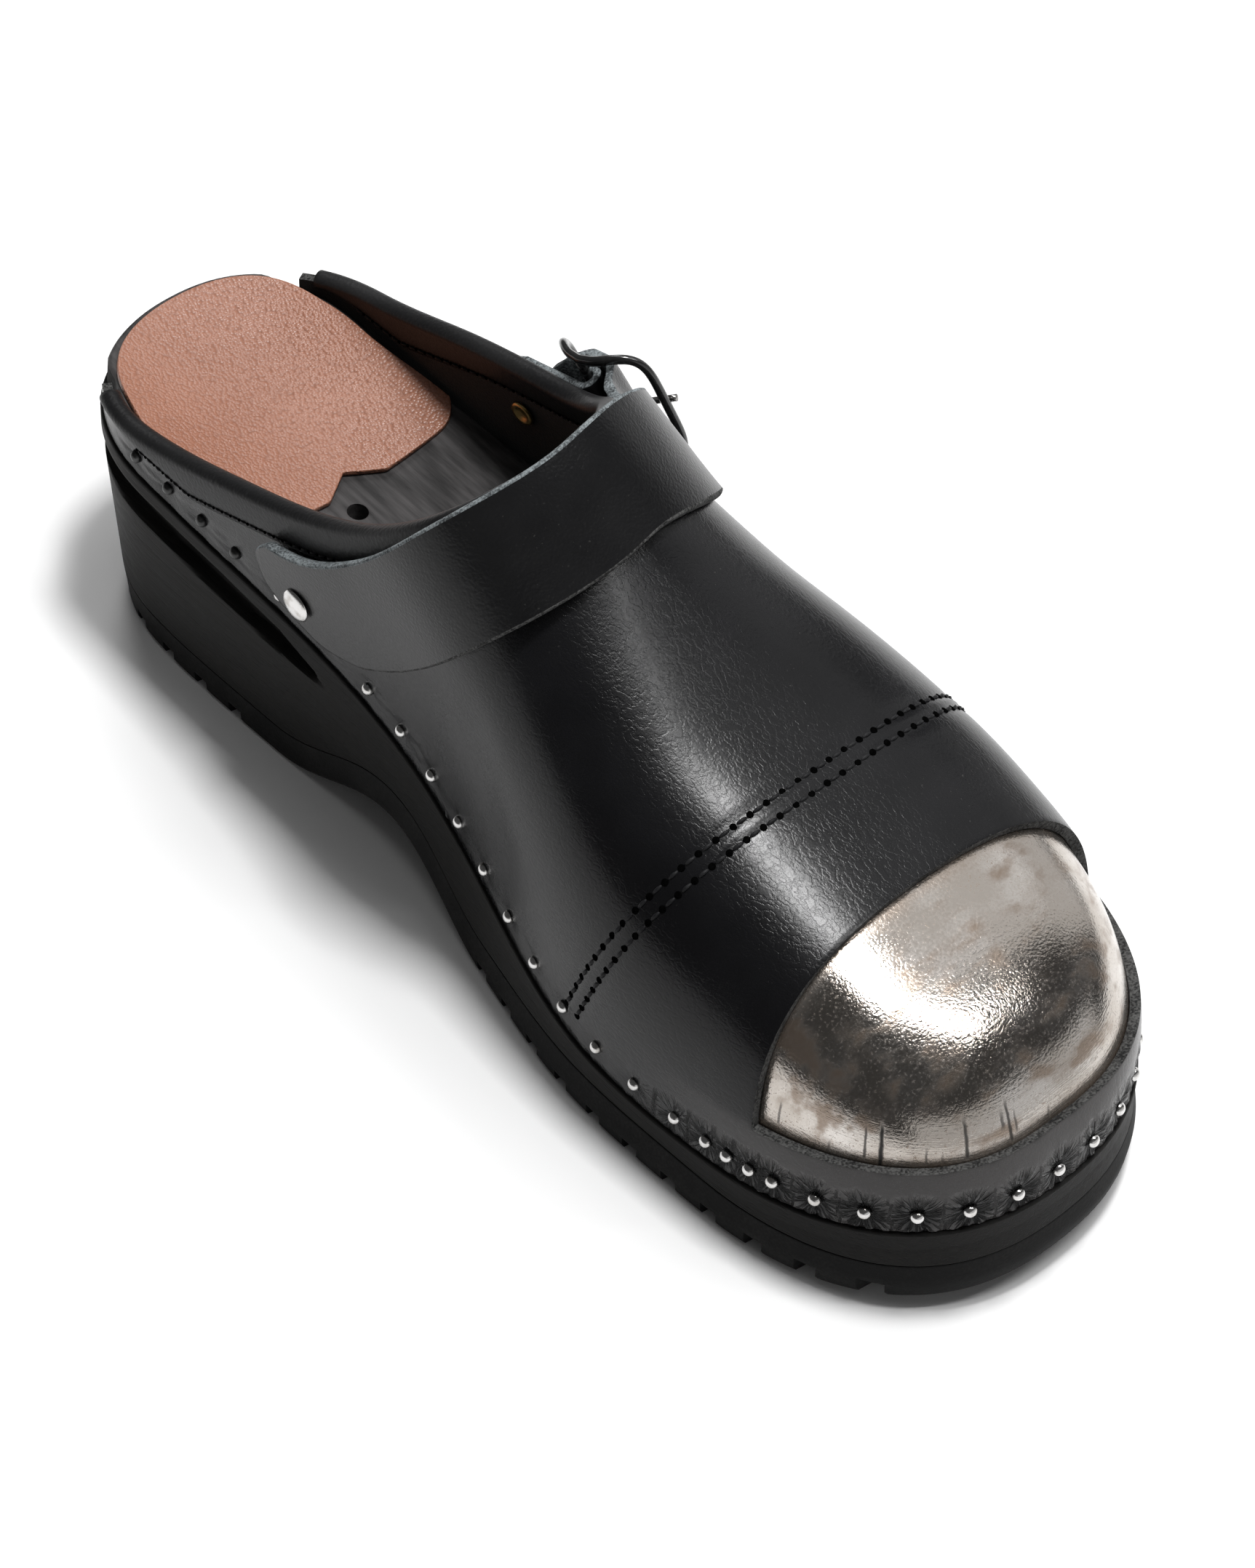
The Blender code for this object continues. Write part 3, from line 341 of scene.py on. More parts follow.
class Paint:
    """A material's node tree with one method that makes its nodes."""

    def __init__(self, name: str) -> None:
        """Start an empty material.

        Args:
            name: Name of the material.
        """
        self.material = bpy.data.materials.new(name)
        self.material.use_nodes = True
        self.tree = self.material.node_tree
        self.tree.nodes.clear()
        place = self.node("ShaderNodeTexCoord", {}, {}, "Object")
        self.mm = self.scaled(place, (1 / MM, 1 / MM, 1 / MM))

    def node(self, kind: str, settings: dict[str, Any], inputs: dict[Any, Any], output: Any = 0) -> Wire:
        """Add a node.

        Args:
            kind: The node's type.
            settings: Its properties, set first.
            inputs: Values or wires of its sockets, by name or number.
            output: Which output to return.

        Returns:
            The output as a wire.
        """
        made = self.tree.nodes.new(kind)
        for name, value in settings.items():
            setattr(made, name, value)
        for name, value in inputs.items():
            socket = made.inputs[name]
            if isinstance(value, Wire):
                self.tree.links.new(value.socket, socket)
            elif isinstance(value, tuple) and socket.type == "RGBA":
                socket.default_value = (*value, 1.0)
            else:
                socket.default_value = value
        return Wire(self, made.outputs[output])

    def scaled(self, vector: Wire, by: Triple) -> Wire:
        """A vector times another one, part by part."""
        return self.node("ShaderNodeVectorMath", {"operation": "MULTIPLY"}, {0: vector, 1: by})

    def mix(self, share: Any, first: Any, second: Any) -> Wire:
        """Colour between two colours."""
        return self.node("ShaderNodeMix", {"data_type": "RGBA"}, {0: share, 6: first, 7: second}, 2)

    def noise(self, size: float, detail: float = 2.0, stretch: Triple = (1, 1, 1)) -> Wire:
        """Noise of a size in millimetres, longer along the parts of stretch above 1."""
        place = self.scaled(self.mm, tuple(1 / (size * part) for part in stretch))
        return self.node("ShaderNodeTexNoise", {}, {"Vector": place, "Scale": 1.0, "Detail": detail})

    def cells(self, size: float, feature: str = "F1") -> Wire:
        """Distance inside cells of a size in millimetres."""
        place = self.scaled(self.mm, (1 / size, 1 / size, 1 / size))
        return self.node("ShaderNodeTexVoronoi", {"feature": feature}, {"Vector": place, "Scale": 1.0})

    def mark(self, name: str) -> Wire:
        """A value kept on the mesh's points."""
        return self.node("ShaderNodeAttribute", {"attribute_name": name}, {}, "Fac")

    def shade(
        self, varying: dict[str, Any], steady: dict[str, Any], height: Wire | None = None,
    ) -> bpy.types.Material:
        """Finish the material.

        Args:
            varying: Shader sockets that change over the surface.
            steady: Shader sockets with one value.
            height: Relief in millimetres.

        Returns:
            The material.
        """
        inputs = steady | varying
        if height is not None:
            relief = {"Strength": 1.0, "Distance": MM, "Height": height}
            inputs["Normal"] = self.node("ShaderNodeBump", {}, relief)
        shader = self.node("ShaderNodeBsdfPrincipled", {}, inputs)
        self.node_out(shader)
        return self.material

    def node_out(self, shader: Wire) -> None:
        """Join a shader to the material's output."""
        made = self.tree.nodes.new("ShaderNodeOutputMaterial")
        self.tree.links.new(shader.socket, made.inputs["Surface"])


@dataclass(frozen=True)
class Leather:
    """Grained leather with its gloss."""

    name: str
    colour: Colour
    pale: Colour
    grain: float = 0.55         # size of a grain
    relief: float = 0.03        # height of the grain
    rough: float = 0.3
    rough_spread: float = 0.1
    coat: float = 0.0
    folds: float = 0.0          # height of faint wrinkles
    dust: float = 0.0
    shine: float = 0.14
    puckers: bool = False
    fold_size: float = 1.5
    fan: Triple = (4.2, 0.16, 7.3)      # change of the clefts with turn, distance and nail
    cleft_depth: float = 1.2
    # near-black painted shade laid in the clefts of the puckers
    cleft_painted_shade: Colour = (0.002, 0.002, 0.002)
    toe_grey: Colour = (0.07, 0.066, 0.065)
    dust_grey: Colour = (0.3, 0.29, 0.27)

    def pucker(self, paint: Paint, colour: Wire, rough: Wire, height: Wire) -> tuple[Wire, Wire, Wire]:
        """Add the greyed leather at the toe and the fan of clefts round each nail, the clefts darkened with
        painted shade.

        Args:
            paint: The material's tree.
            colour: The colour so far.
            rough: The roughness so far.
            height: The relief so far.

        Returns:
            The three of them with the puckers.
        """
        far, toe = paint.mark("nail_far"), paint.mark("toe")
        turn = far.maths("ARCTAN2", paint.mark("nail_x"), paint.mark("nail_y"))
        parts = zip((turn, far, paint.mark("nail_n")), self.fan)
        ray = paint.node("ShaderNodeCombineXYZ", {}, {i: part * by for i, (part, by) in enumerate(parts)})
        fan = paint.node("ShaderNodeTexNoise", {}, {"Vector": ray, "Scale": 1.0, "Detail": 3.0})
        cleft = (1.0 - abs(fan - 0.5).step(0.0, 0.1)) * (far.step(7.5, 3.0) * toe)
        grey = toe * far.step(2.5, 6.5) * far.step(15.0, 11.0) * 0.8
        # The clefts get near-black painted shade as well as their sunken relief.
        colour = paint.mix(cleft, paint.mix(grey, colour, self.toe_grey), self.cleft_painted_shade)
        return colour, rough + cleft * 0.25, height - cleft * self.cleft_depth

    def make(self) -> bpy.types.Material:
        """Build the material."""
        paint = Paint(self.name)
        grain = paint.cells(self.grain, "SMOOTH_F1")
        fine = paint.noise(self.grain * 0.6, 3.0)
        broad = paint.noise(26.0, 3.0)
        height = grain * self.relief + fine * (0.5 * self.relief)
        if self.folds:
            wrinkle = paint.noise(self.fold_size, 4.0, (1.0, 1.7, 1.0))
            height = height + abs(wrinkle - 0.5).step(0.0, 0.09) * self.folds
        colour = paint.mix(broad.step(0.35, 0.8), self.colour, self.pale)
        rough = self.rough + (broad - 0.5) * self.rough_spread + (fine - 0.5) * 0.08
        if self.puckers:
            colour, rough, height = self.pucker(paint, colour, rough, height)
        if self.dust:
            speck = paint.noise(0.7, 1.0).step(0.72, 0.78) * paint.noise(18.0, 2.0).step(0.4, 0.7)
            colour = paint.mix(speck * self.dust, colour, self.dust_grey)
        return paint.shade(
            {"Base Color": colour, "Roughness": rough},
            {"Coat Weight": self.coat, "Coat Roughness": 0.18, "Specular IOR Level": self.shine},
            height,
        )


@dataclass(frozen=True)
class RawEdge:
    """Cut edge of leather: a rough, speckled fibre face."""

    name: str
    dark: Colour
    pale: Colour
    speck: float = 0.7
    shine: float = 0.3

    def make(self) -> bpy.types.Material:
        """Build the material."""
        paint = Paint(self.name)
        fibre = paint.noise(self.speck, 4.0)
        blotch = paint.noise(5.0, 2.0)
        share = (fibre * 0.75 + blotch * 0.35).step(0.4, 0.72)
        colour = paint.mix(share, self.dark, self.pale)
        steady = {"Roughness": 0.85, "Specular IOR Level": self.shine}
        return paint.shade({"Base Color": colour}, steady, fibre * 0.25)


@dataclass(frozen=True)
class Suede:
    """Dark nap of the lining."""

    name: str
    dark: Colour
    pale: Colour

    def make(self) -> bpy.types.Material:
        """Build the material."""
        paint = Paint(self.name)
        nap = paint.noise(0.5, 3.0)
        brushed = paint.noise(9.0, 3.0, (1.0, 1.8, 1.0))
        colour = paint.mix((nap * 0.4 + brushed * 0.6).step(0.3, 0.75), self.dark, self.pale)
        steady = {"Roughness": 0.95, "Sheen Weight": 0.25, "Sheen Roughness": 0.5}
        return paint.shade({"Base Color": colour}, steady, nap * 0.12)


@dataclass(frozen=True)
class PaintedWood:
    """Stained wood with its grain along the foot."""

    name: str
    dark: Colour
    pale: Colour
    rough: float
    relief: float
    shine: float = 0.09

    def make(self) -> bpy.types.Material:
        """Build the material."""
        paint = Paint(self.name)
        grain = paint.noise(1.6, 4.0, (1.0, 34.0, 1.0))
        pores = paint.noise(0.5, 2.0, (1.0, 14.0, 1.0))
        broad = paint.noise(24.0, 2.0, (1.0, 2.5, 1.0))
        share = (grain * 0.6 + broad * 0.5).step(0.38, 0.75)
        colour = paint.mix(share, self.dark, self.pale)
        rough = self.rough + (grain - 0.5) * 0.25 + (broad - 0.5) * 0.15
        height = grain * self.relief + pores.step(0.55, 0.7) * (-0.4 * self.relief)
        steady = {"Specular IOR Level": self.shine}
        return paint.shade({"Base Color": colour, "Roughness": rough}, steady, height)


@dataclass(frozen=True)
class Rubber:
    """Matt black rubber with a little dust."""

    name: str
    colour: Colour
    dusty: Colour
    shine: float = 0.08
    relief: float = 0.06

    def make(self) -> bpy.types.Material:
        """Build the material."""
        paint = Paint(self.name)
        fine = paint.noise(0.6, 3.0)
        broad = paint.noise(12.0, 3.0)
        colour = paint.mix((broad * 0.7 + fine * 0.4).step(0.45, 0.8), self.colour, self.dusty)
        rough = 0.62 + (broad - 0.5) * 0.2
        steady = {"Specular IOR Level": self.shine}
        return paint.shade({"Base Color": colour, "Roughness": rough}, steady, fine * self.relief)


@dataclass(frozen=True)
class BareSteel:
    """Steel of the cap: rubbed, stained near its edges and scratched low at the front."""

    name: str
    clean: Colour = (0.68, 0.645, 0.61)
    dull: Colour = (0.5, 0.455, 0.41)
    stain: Colour = (0.2, 0.13, 0.08)
    black: Colour = (0.02, 0.018, 0.016)
    rough: float = 0.13
    # Scratches: turn round the toe in degrees, lower and upper height, half width and strength
    columns: tuple[str, ...] = ("turn", "low", "high", "width", "strength")
    scratches: tuple[tuple[float, ...], ...] = (
        (-45.2, 17.5, 26.0, 0.28, 0.8),
        (-42.2, 16.0, 27.0, 0.5, 1.0),
        (-34.0, 17.0, 21.5, 0.25, 0.6),
        (-31.0, 17.0, 19.5, 0.3, 0.6),
        (-26.4, 17.0, 26.5, 0.42, 0.9),
        (-17.2, 17.0, 26.5, 0.4, 0.9),
        (-15.8, 19.0, 24.0, 0.3, 0.7),
        (-18.6, 21.0, 25.0, 0.5, 0.8),
        (-52.0, 17.0, 20.0, 0.3, 0.5),
        (-63.0, 19.0, 25.0, 0.3, 0.6),
        (-8.0, 17.0, 20.5, 0.3, 0.5),
    )

    def make(self) -> bpy.types.Material:
        """Build the material."""
        paint = Paint(self.name)
        turn, height = paint.mark("turn"), paint.mark("height")
        edge = paint.mark("edge")
        rub = paint.noise(0.22, 3.0, (26.0, 26.0, 1.0))
        grit = paint.noise(0.6, 3.0)
        cloud = paint.noise(13.0, 4.0)
        smear = paint.noise(5.0, 4.0, (2.5, 1.0, 1.0))
        wobble = (paint.noise(1.5, 2.0) - 0.5) * 0.5
        lines = grit * 0.0
        for place, low, high, width, strength in self.scratches:
            away = abs(turn + wobble - place)
            reach = height.step(low - 1.0, low + 0.5) * height.step(high + 0.5, high - 2.5)
            lines = lines.most(away.step(width + 0.12, 0.3 * width) * reach * strength)
        rust = (edge * (0.3 + smear * 0.95)).step(0.3, 0.95)
        brown = smear.step(0.44, 0.66) * cloud.step(0.36, 0.56)
        spots = grit.step(0.57, 0.7) * (0.5 + edge * 0.5)
        colour = paint.mix((cloud * 0.6 + grit * 0.4).step(0.38, 0.7), self.dull, self.clean)
        colour = paint.mix((rust * 0.7).most(brown * 0.7).most(spots * 0.8), colour, self.stain)
        colour = paint.mix(lines, colour, self.black)
        marks = rust.most(brown * 0.6).most(spots)
        brushed = (rub - 0.5) * height.step(34.0, 20.0)
        rough = self.rough + (cloud - 0.5) * 0.08 + (grit - 0.5) * 0.16 + brushed * 0.3
        rough = rough + marks * 0.15 + lines * 0.3
        metal = 1.0 - (marks * 0.25).most(lines * 0.8)
        relief = grit * 0.06 + brushed * 0.05 + smear * 0.05 - lines * 0.08
        return paint.shade({"Base Color": colour, "Roughness": rough, "Metallic": metal}, {}, relief)


@dataclass(frozen=True)
class Metal:
    """Small metal piece, bare or enamelled."""

    name: str
    colour: Colour
    worn: Colour
    metallic: float = 1.0
    rough: float = 0.3
    coat: float = 0.0

    def make(self) -> bpy.types.Material:
        """Build the material."""
        paint = Paint(self.name)
        cloud = paint.noise(2.4, 3.0)
        fine = paint.noise(0.4, 2.0)
        colour = paint.mix(cloud.step(0.45, 0.75), self.colour, self.worn)
        rough = self.rough + (cloud - 0.5) * 0.2
        steady = {"Metallic": self.metallic, "Coat Weight": self.coat, "Coat Roughness": 0.1}
        return paint.shade({"Base Color": colour, "Roughness": rough}, steady, fine * 0.015)


@dataclass(frozen=True)
class Pebbled:
    """Tan sock leather with a pebbled face."""

    name: str
    colour: Colour = (0.3, 0.127, 0.077)
    pale: Colour = (0.342, 0.152, 0.096)
    deep: Colour = (0.2, 0.085, 0.055)
    grain: float = 0.75
    rough: float = 0.34
    shine: float = 0.6

    def make(self) -> bpy.types.Material:
        """Build the material."""
        paint = Paint(self.name)
        pebble = paint.cells(self.grain)
        fine = paint.noise(0.35, 3.0)
        broad = paint.noise(22.0, 3.0)
        valley = pebble.step(0.4, 0.9)
        colour = paint.mix(broad.step(0.3, 0.75), self.colour, self.pale)
        colour = paint.mix(valley * 0.3, colour, self.deep)
        rough = self.rough + (broad - 0.5) * 0.15 + valley * 0.2
        height = pebble * pebble * -0.22 + fine * 0.05
        steady = {"Specular IOR Level": self.shine}
        return paint.shade({"Base Color": colour, "Roughness": rough}, steady, height)


class Palette:
    """All finishes of the shoe, made once."""

    def __init__(self) -> None:
        """Make each material."""
        black = (0.005, 0.005, 0.0056)
        self.upper = Leather(
            "upper_leather", black, (0.0085, 0.0085, 0.0095), grain=0.5, relief=0.014, rough=0.26, coat=0.06,
            folds=0.018, dust=0.12, shine=0.2, puckers=True,
        ).make()
        self.binding = Leather(
            "binding_leather", (0.009, 0.009, 0.0095), (0.019, 0.019, 0.0195),
            grain=0.8, relief=0.08, rough=0.44, coat=0.05,
        ).make()
        self.strap = Leather(
            "strap_leather", black, (0.0095, 0.0095, 0.01), grain=0.62, relief=0.065, rough=0.31, coat=0.1,
            dust=0.08, shine=0.24,
        ).make()
        self.thread = Leather(
            "thread", (0.011, 0.011, 0.012), (0.02, 0.02, 0.021), grain=0.25, relief=0.05, rough=0.5,
        ).make()
        self.window_edge = RawEdge("window_edge", (0.006, 0.006, 0.006), (0.085, 0.085, 0.083), 0.55).make()
        self.strap_edge = RawEdge("strap_edge", (0.045, 0.05, 0.053), (0.26, 0.29, 0.3), 0.5).make()
        self.lining = Suede("lining", (0.006, 0.0065, 0.0062), (0.015, 0.017, 0.016)).make()
        self.wood_side = PaintedWood(
            "wood_side", (0.006, 0.0058, 0.0055), (0.014, 0.0132, 0.0125), 0.55, 0.1,
        ).make()
        self.footbed = PaintedWood("footbed", (0.022, 0.021, 0.021), (0.075, 0.071, 0.071), 0.5, 0.08).make()
        self.rubber = Rubber("rubber", (0.008, 0.008, 0.008), (0.02, 0.0195, 0.019)).make()
        self.cap = BareSteel("cap_steel").make()
        self.nail = Metal("nail_steel", (0.72, 0.71, 0.7), (0.45, 0.43, 0.4), 1.0, 0.22).make()
        self.dark_nail = Metal("dark_nail", (0.05, 0.05, 0.05), (0.1, 0.1, 0.1), 0.8, 0.35).make()
        self.enamel = Metal("buckle_enamel", (0.012, 0.012, 0.012), (0.02, 0.02, 0.02), 0.0, 0.2, 0.5).make()
        self.prong = Metal("prong_steel", (0.35, 0.34, 0.33), (0.1, 0.1, 0.1), 1.0, 0.25).make()
        self.brass = Metal("rivet_brass", (0.62, 0.44, 0.17), (0.36, 0.24, 0.09), 1.0, 0.3).make()
        self.sock = Pebbled("sock_leather").make()
        # Near-black material painted as the shade inside the stitch holes.
        self.painted_hole_shade = RawEdge("stitch_hole_painted_shade", (0.001, 0.001, 0.001), (0.002, 0.002, 0.002), 0.7, 0.0).make()


# Meshes


def placed(name: str, data: Any) -> bpy.types.Object:
    """A new object in the scene that shows some data."""
    made = bpy.data.objects.new(name, data)
    bpy.context.scene.collection.objects.link(made)
    return made


def meshed(name: str, mesh: bmesh.types.BMesh) -> bpy.types.Object:
    """A new object of a finished mesh."""
    data = bpy.data.meshes.new(name)
    mesh.to_mesh(data)
    mesh.free()
    return placed(name, data)


class Skin:
    """Quads gathered from grids of points and joined into one object."""

    def __init__(self) -> None:
        """Start with no points."""
        self.points: list[Array] = []
        self.faces: list[Array] = []
        self.kinds: list[Array] = []
        self.marks: dict[str, list[Array]] = {}
        self.count = 0

    def grid(self, points: Array, wrap: bool = False, kind: int = 0, marks: Marks | None = None) -> None:
        """Add a grid.

        Args:
            points: Rows by columns by 3, in the last frame.
            wrap: Whether the last column joins the first.
            kind: Index of the material.
            marks: Values kept on the points, rows by columns.
        """
        rows, columns = points.shape[:2]
        index = np.arange(rows * columns).reshape(rows, columns) + self.count
        if wrap:
            index = np.concatenate([index, index[:, :1]], 1)
        quads = np.stack([index[:-1, :-1], index[:-1, 1:], index[1:, 1:], index[1:, :-1]], -1).reshape(-1, 4)
        self.points.append(points.reshape(-1, 3))
        self.faces.append(quads)
        self.kinds.append(np.full(len(quads), kind))
        for name, value in (marks or {}).items():
            self.marks.setdefault(name, []).append(np.asarray(value, float).ravel())
        self.count += rows * columns

    def make(self, name: str, materials: Sequence[bpy.types.Material], inside: Triple | None = None,
             weld: float = 0.02, close: bool = False) -> bpy.types.Object:
        """Turn the grids into an object that rides on the shoe.

        Args:
            name: Name of the piece.
            materials: Its materials, in the order of the kinds.
            inside: A point that the faces look away from, for an open sheet.
            weld: Points nearer than this are joined.
            close: Whether to fill open ends.

        Returns:
            The object, in the row frame.
        """
        data = bpy.data.meshes.new(name)
        spots = (np.concatenate(self.points) + SHIFT) * MM
        data.from_pydata(spots.tolist(), [], np.concatenate(self.faces).tolist())
        data.polygons.foreach_set("material_index", np.concatenate(self.kinds).astype(np.int32))
        for mark, values in self.marks.items():
            layer = data.attributes.new(mark, "FLOAT", "POINT")
            layer.data.foreach_set("value", np.concatenate(values).astype(np.float32))
        mesh = bmesh.new()
        mesh.from_mesh(data)
        bmesh.ops.remove_doubles(mesh, verts=mesh.verts, dist=weld * MM)
        bmesh.ops.dissolve_degenerate(mesh, edges=mesh.edges, dist=0.002 * MM)
        if close:
            rim = [edge for edge in mesh.edges if edge.is_boundary]
            bmesh.ops.holes_fill(mesh, edges=rim, sides=0)
        bmesh.ops.recalc_face_normals(mesh, faces=mesh.faces)
        if inside is not None:
            heart = Vector((np.asarray(inside) + SHIFT) * MM)
            facing = sum(face.normal.dot(face.calc_center_median() - heart) for face in mesh.faces)
            if facing < 0:
                bmesh.ops.reverse_faces(mesh, faces=mesh.faces)
        mesh.to_mesh(data)
        mesh.free()
        data.shade_smooth()
        for material in materials:
            data.materials.append(material)
        made = placed(name, data)
        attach(made, BODY)
        LOG.info("%s: %d faces", name, len(data.polygons))
        return made


def wall(piece: bpy.types.Object, thick: float, lining: int = 0, rim: int = 0) -> None:
    """Give a sheet its wall, grown inward.

    Args:
        piece: The sheet.
        thick: Thickness of the wall.
        lining: Steps from the outer material to the inner one.
        rim: Steps from the outer material to the edge's one.
    """
    solid = piece.modifiers.new("wall", "SOLIDIFY")
    solid.thickness = thick * MM
    solid.offset = -1.0
    solid.use_even_offset = True
    solid.material_offset = lining
    solid.material_offset_rim = rim


def slab(skin: Skin, outer: Array, inner: Array, kinds: tuple[int, int, int, int]) -> None:
    """Add two grids as the faces of a slab and close it round the edge.

    Args:
        skin: Where the faces go.
        outer: Grid of the outer face.
        inner: Grid of the inner face.
        kinds: Materials of the outer face, the inner face, the edge, and the edge along the first column.
    """
    face, back, edge, first = kinds
    skin.grid(outer[:, :2], kind=first)
    skin.grid(outer[:, 1:-1], kind=face)
    skin.grid(outer[:, -2:], kind=edge)
    skin.grid(inner, kind=back)
    beside = (
        (np.s_[0], np.s_[2], edge),
        (np.s_[-1], np.s_[-3], edge),
        (np.s_[:, 0], np.s_[:, 2], first),
        (np.s_[:, -1], np.s_[:, -3], edge),
    )
    for pick, next_to, kind in beside:
        away = unit(outer[pick] - outer[next_to])
        away[[0, -1]] = 0.0
        deep = inner[pick] - outer[pick]
        rows = []
        for share in (0.0, 0.1, 0.3, 0.5, 0.7, 0.9, 1.0):
            swell = ROUND_EDGE * math.sin(math.pi * share) ** 0.6
            rows.append(outer[pick] + deep * share + away * swell)
        skin.grid(np.stack(rows), kind=kind)


def soften(piece: bpy.types.Object, width: float, segments: int = 2) -> None:
    """Round the sharp edges of a piece.

    Args:
        piece: The piece.
        width: Width of the rounding.
        segments: Faces across it.
    """
    edge = piece.modifiers.new("edge", "BEVEL")
    edge.width = width * MM
    edge.segments = segments
    edge.limit_method = "ANGLE"
    edge.angle_limit = math.radians(50)
    edge.use_clamp_overlap = True


def carve(piece: bpy.types.Object, cutter: bpy.types.Object) -> None:
    """Cut one object out of a piece and apply the cut."""
    work = piece.modifiers.new("carve", "BOOLEAN")
    work.operation = "DIFFERENCE"
    work.solver = "EXACT"
    work.object = cutter
    with bpy.context.temp_override(object=piece, active_object=piece, selected_objects=[piece]):
        bpy.ops.object.modifier_apply(modifier=work.name)
    bpy.data.objects.remove(cutter)


def rods(spots: Array, ways: Array, radius: float, length: float, sides: int) -> bpy.types.Object:
    """Loose round cutters, one at each spot along its way."""
    mesh = bmesh.new()
    for spot, way in zip(spots, ways):
        made = bmesh.ops.create_cone(
            mesh, cap_ends=True, segments=sides, radius1=radius * MM, radius2=radius * MM, depth=length * MM,
        )["verts"]
        turn = Vector(way).to_track_quat("Z", "X").to_matrix().to_4x4()
        move = Matrix.Translation(Vector((spot + SHIFT) * MM))
        bmesh.ops.transform(mesh, matrix=move @ turn, verts=made)
    return meshed("cutter", mesh)


def turned(
    skin: Skin, profile: Sequence[tuple[float, float]], spot: Array, way: Array, sides: int, kind: int = 0,
) -> None:
    """Add a turned shape.

    Args:
        skin: Where its faces go.
        profile: Radius and height of each ring.
        spot: Foot of the axis.
        way: The axis.
        sides: Points on each ring.
        kind: Index of the material.
    """
    way = unit(np.asarray(way, float))
    help_way = np.array((0.0, 0.0, 1.0)) if abs(way[2]) < 0.8 else np.array((1.0, 0.0, 0.0))
    first = unit(np.cross(way, help_way))
    second = np.cross(way, first)
    turns = np.linspace(0, 2 * math.pi, sides, endpoint=False)
    circle = np.cos(turns)[:, None] * first + np.sin(turns)[:, None] * second
    skin.grid(np.stack([spot + circle * r + way * z for r, z in profile]), True, kind)


def tube(skin: Skin, path: Array, radius: Any, sides: int, closed: bool = False, flat: float = 1.0,
         face: Array | None = None) -> None:
    """Add a tube along a path, its ends drawn in to a point.

    Args:
        skin: Where its faces go.
        path: Points of the middle line.
        radius: Radius, or one for each point.
        sides: Points round the tube.
        closed: Whether the path is a loop.
        flat: Height of the section against its width.
        face: The way that the section's height looks.
    """
    along = unit(np.roll(path, -1, 0) - np.roll(path, 1, 0)) if closed else unit(np.gradient(path, axis=0))
    up = np.broadcast_to(np.array((0.31, 0.17, 0.93)) if face is None else face, path.shape)
    up = unit(up - along * (up * along).sum(-1, keepdims=True))
    right = np.cross(along, up)
    radius = np.broadcast_to(radius, (len(path),))[:, None]
    turns = np.linspace(0, 2 * math.pi, sides, endpoint=False)
    rings = np.stack([path + radius * (math.cos(a) * right + flat * math.sin(a) * up) for a in turns], 1)
    if closed:
        rings = np.concatenate([rings, rings[:1]])
    else:
        tips = np.repeat(path[[0, -1], None], sides, 1)
        rings = np.concatenate([tips[:1], rings, tips[1:]])
    skin.grid(rings, True)


def stitches(skin: Skin, line: Array, normal: Array, pitch: float, long: float, thick: float, rise: float,
             hole: float) -> None:
    """Add thread stitches along a line.

    Args:
        skin: Where their faces go.
        line: Points of the line, close together.
        normal: The surface's normal at each point.
        pitch: Length of one stitch with its gap.
        long: Length of the thread that shows.
        thick: Radius of the thread.
        rise: Height of the thread's middle above the surface.
        hole: Radius of the black disc painted as the shade of the hole between two stitches.
    """
    run = run_of(line)
    for start in np.arange(pitch / 2, run[-1] - long, pitch):
        at = start + long * np.linspace(0, 1, STITCH_POINTS)
        spot = along_line(line, at)
        out = np.stack([np.interp(at, run, normal[:, i]) for i in range(3)], -1)
        arch = np.sin(np.linspace(0, math.pi, STITCH_POINTS))
        path = spot + out * (rise * arch - 0.35 * thick)[:, None]
        tube(skin, path, thick * (0.6 + 0.4 * arch), 6)
        gap = along_line(line, np.array([start - (pitch - long) / 2]))[0]
        # A near-black disc painted as the shade inside the hole between two stitches.
        painted_hole_shade = [(hole * radius, height) for radius, height in SHADE_DISC_PROFILE]
        turned(skin, painted_hole_shade, gap + SHADE_DISC_RISE * out[0], out[0], 10, 1)


# Sub-assemblies


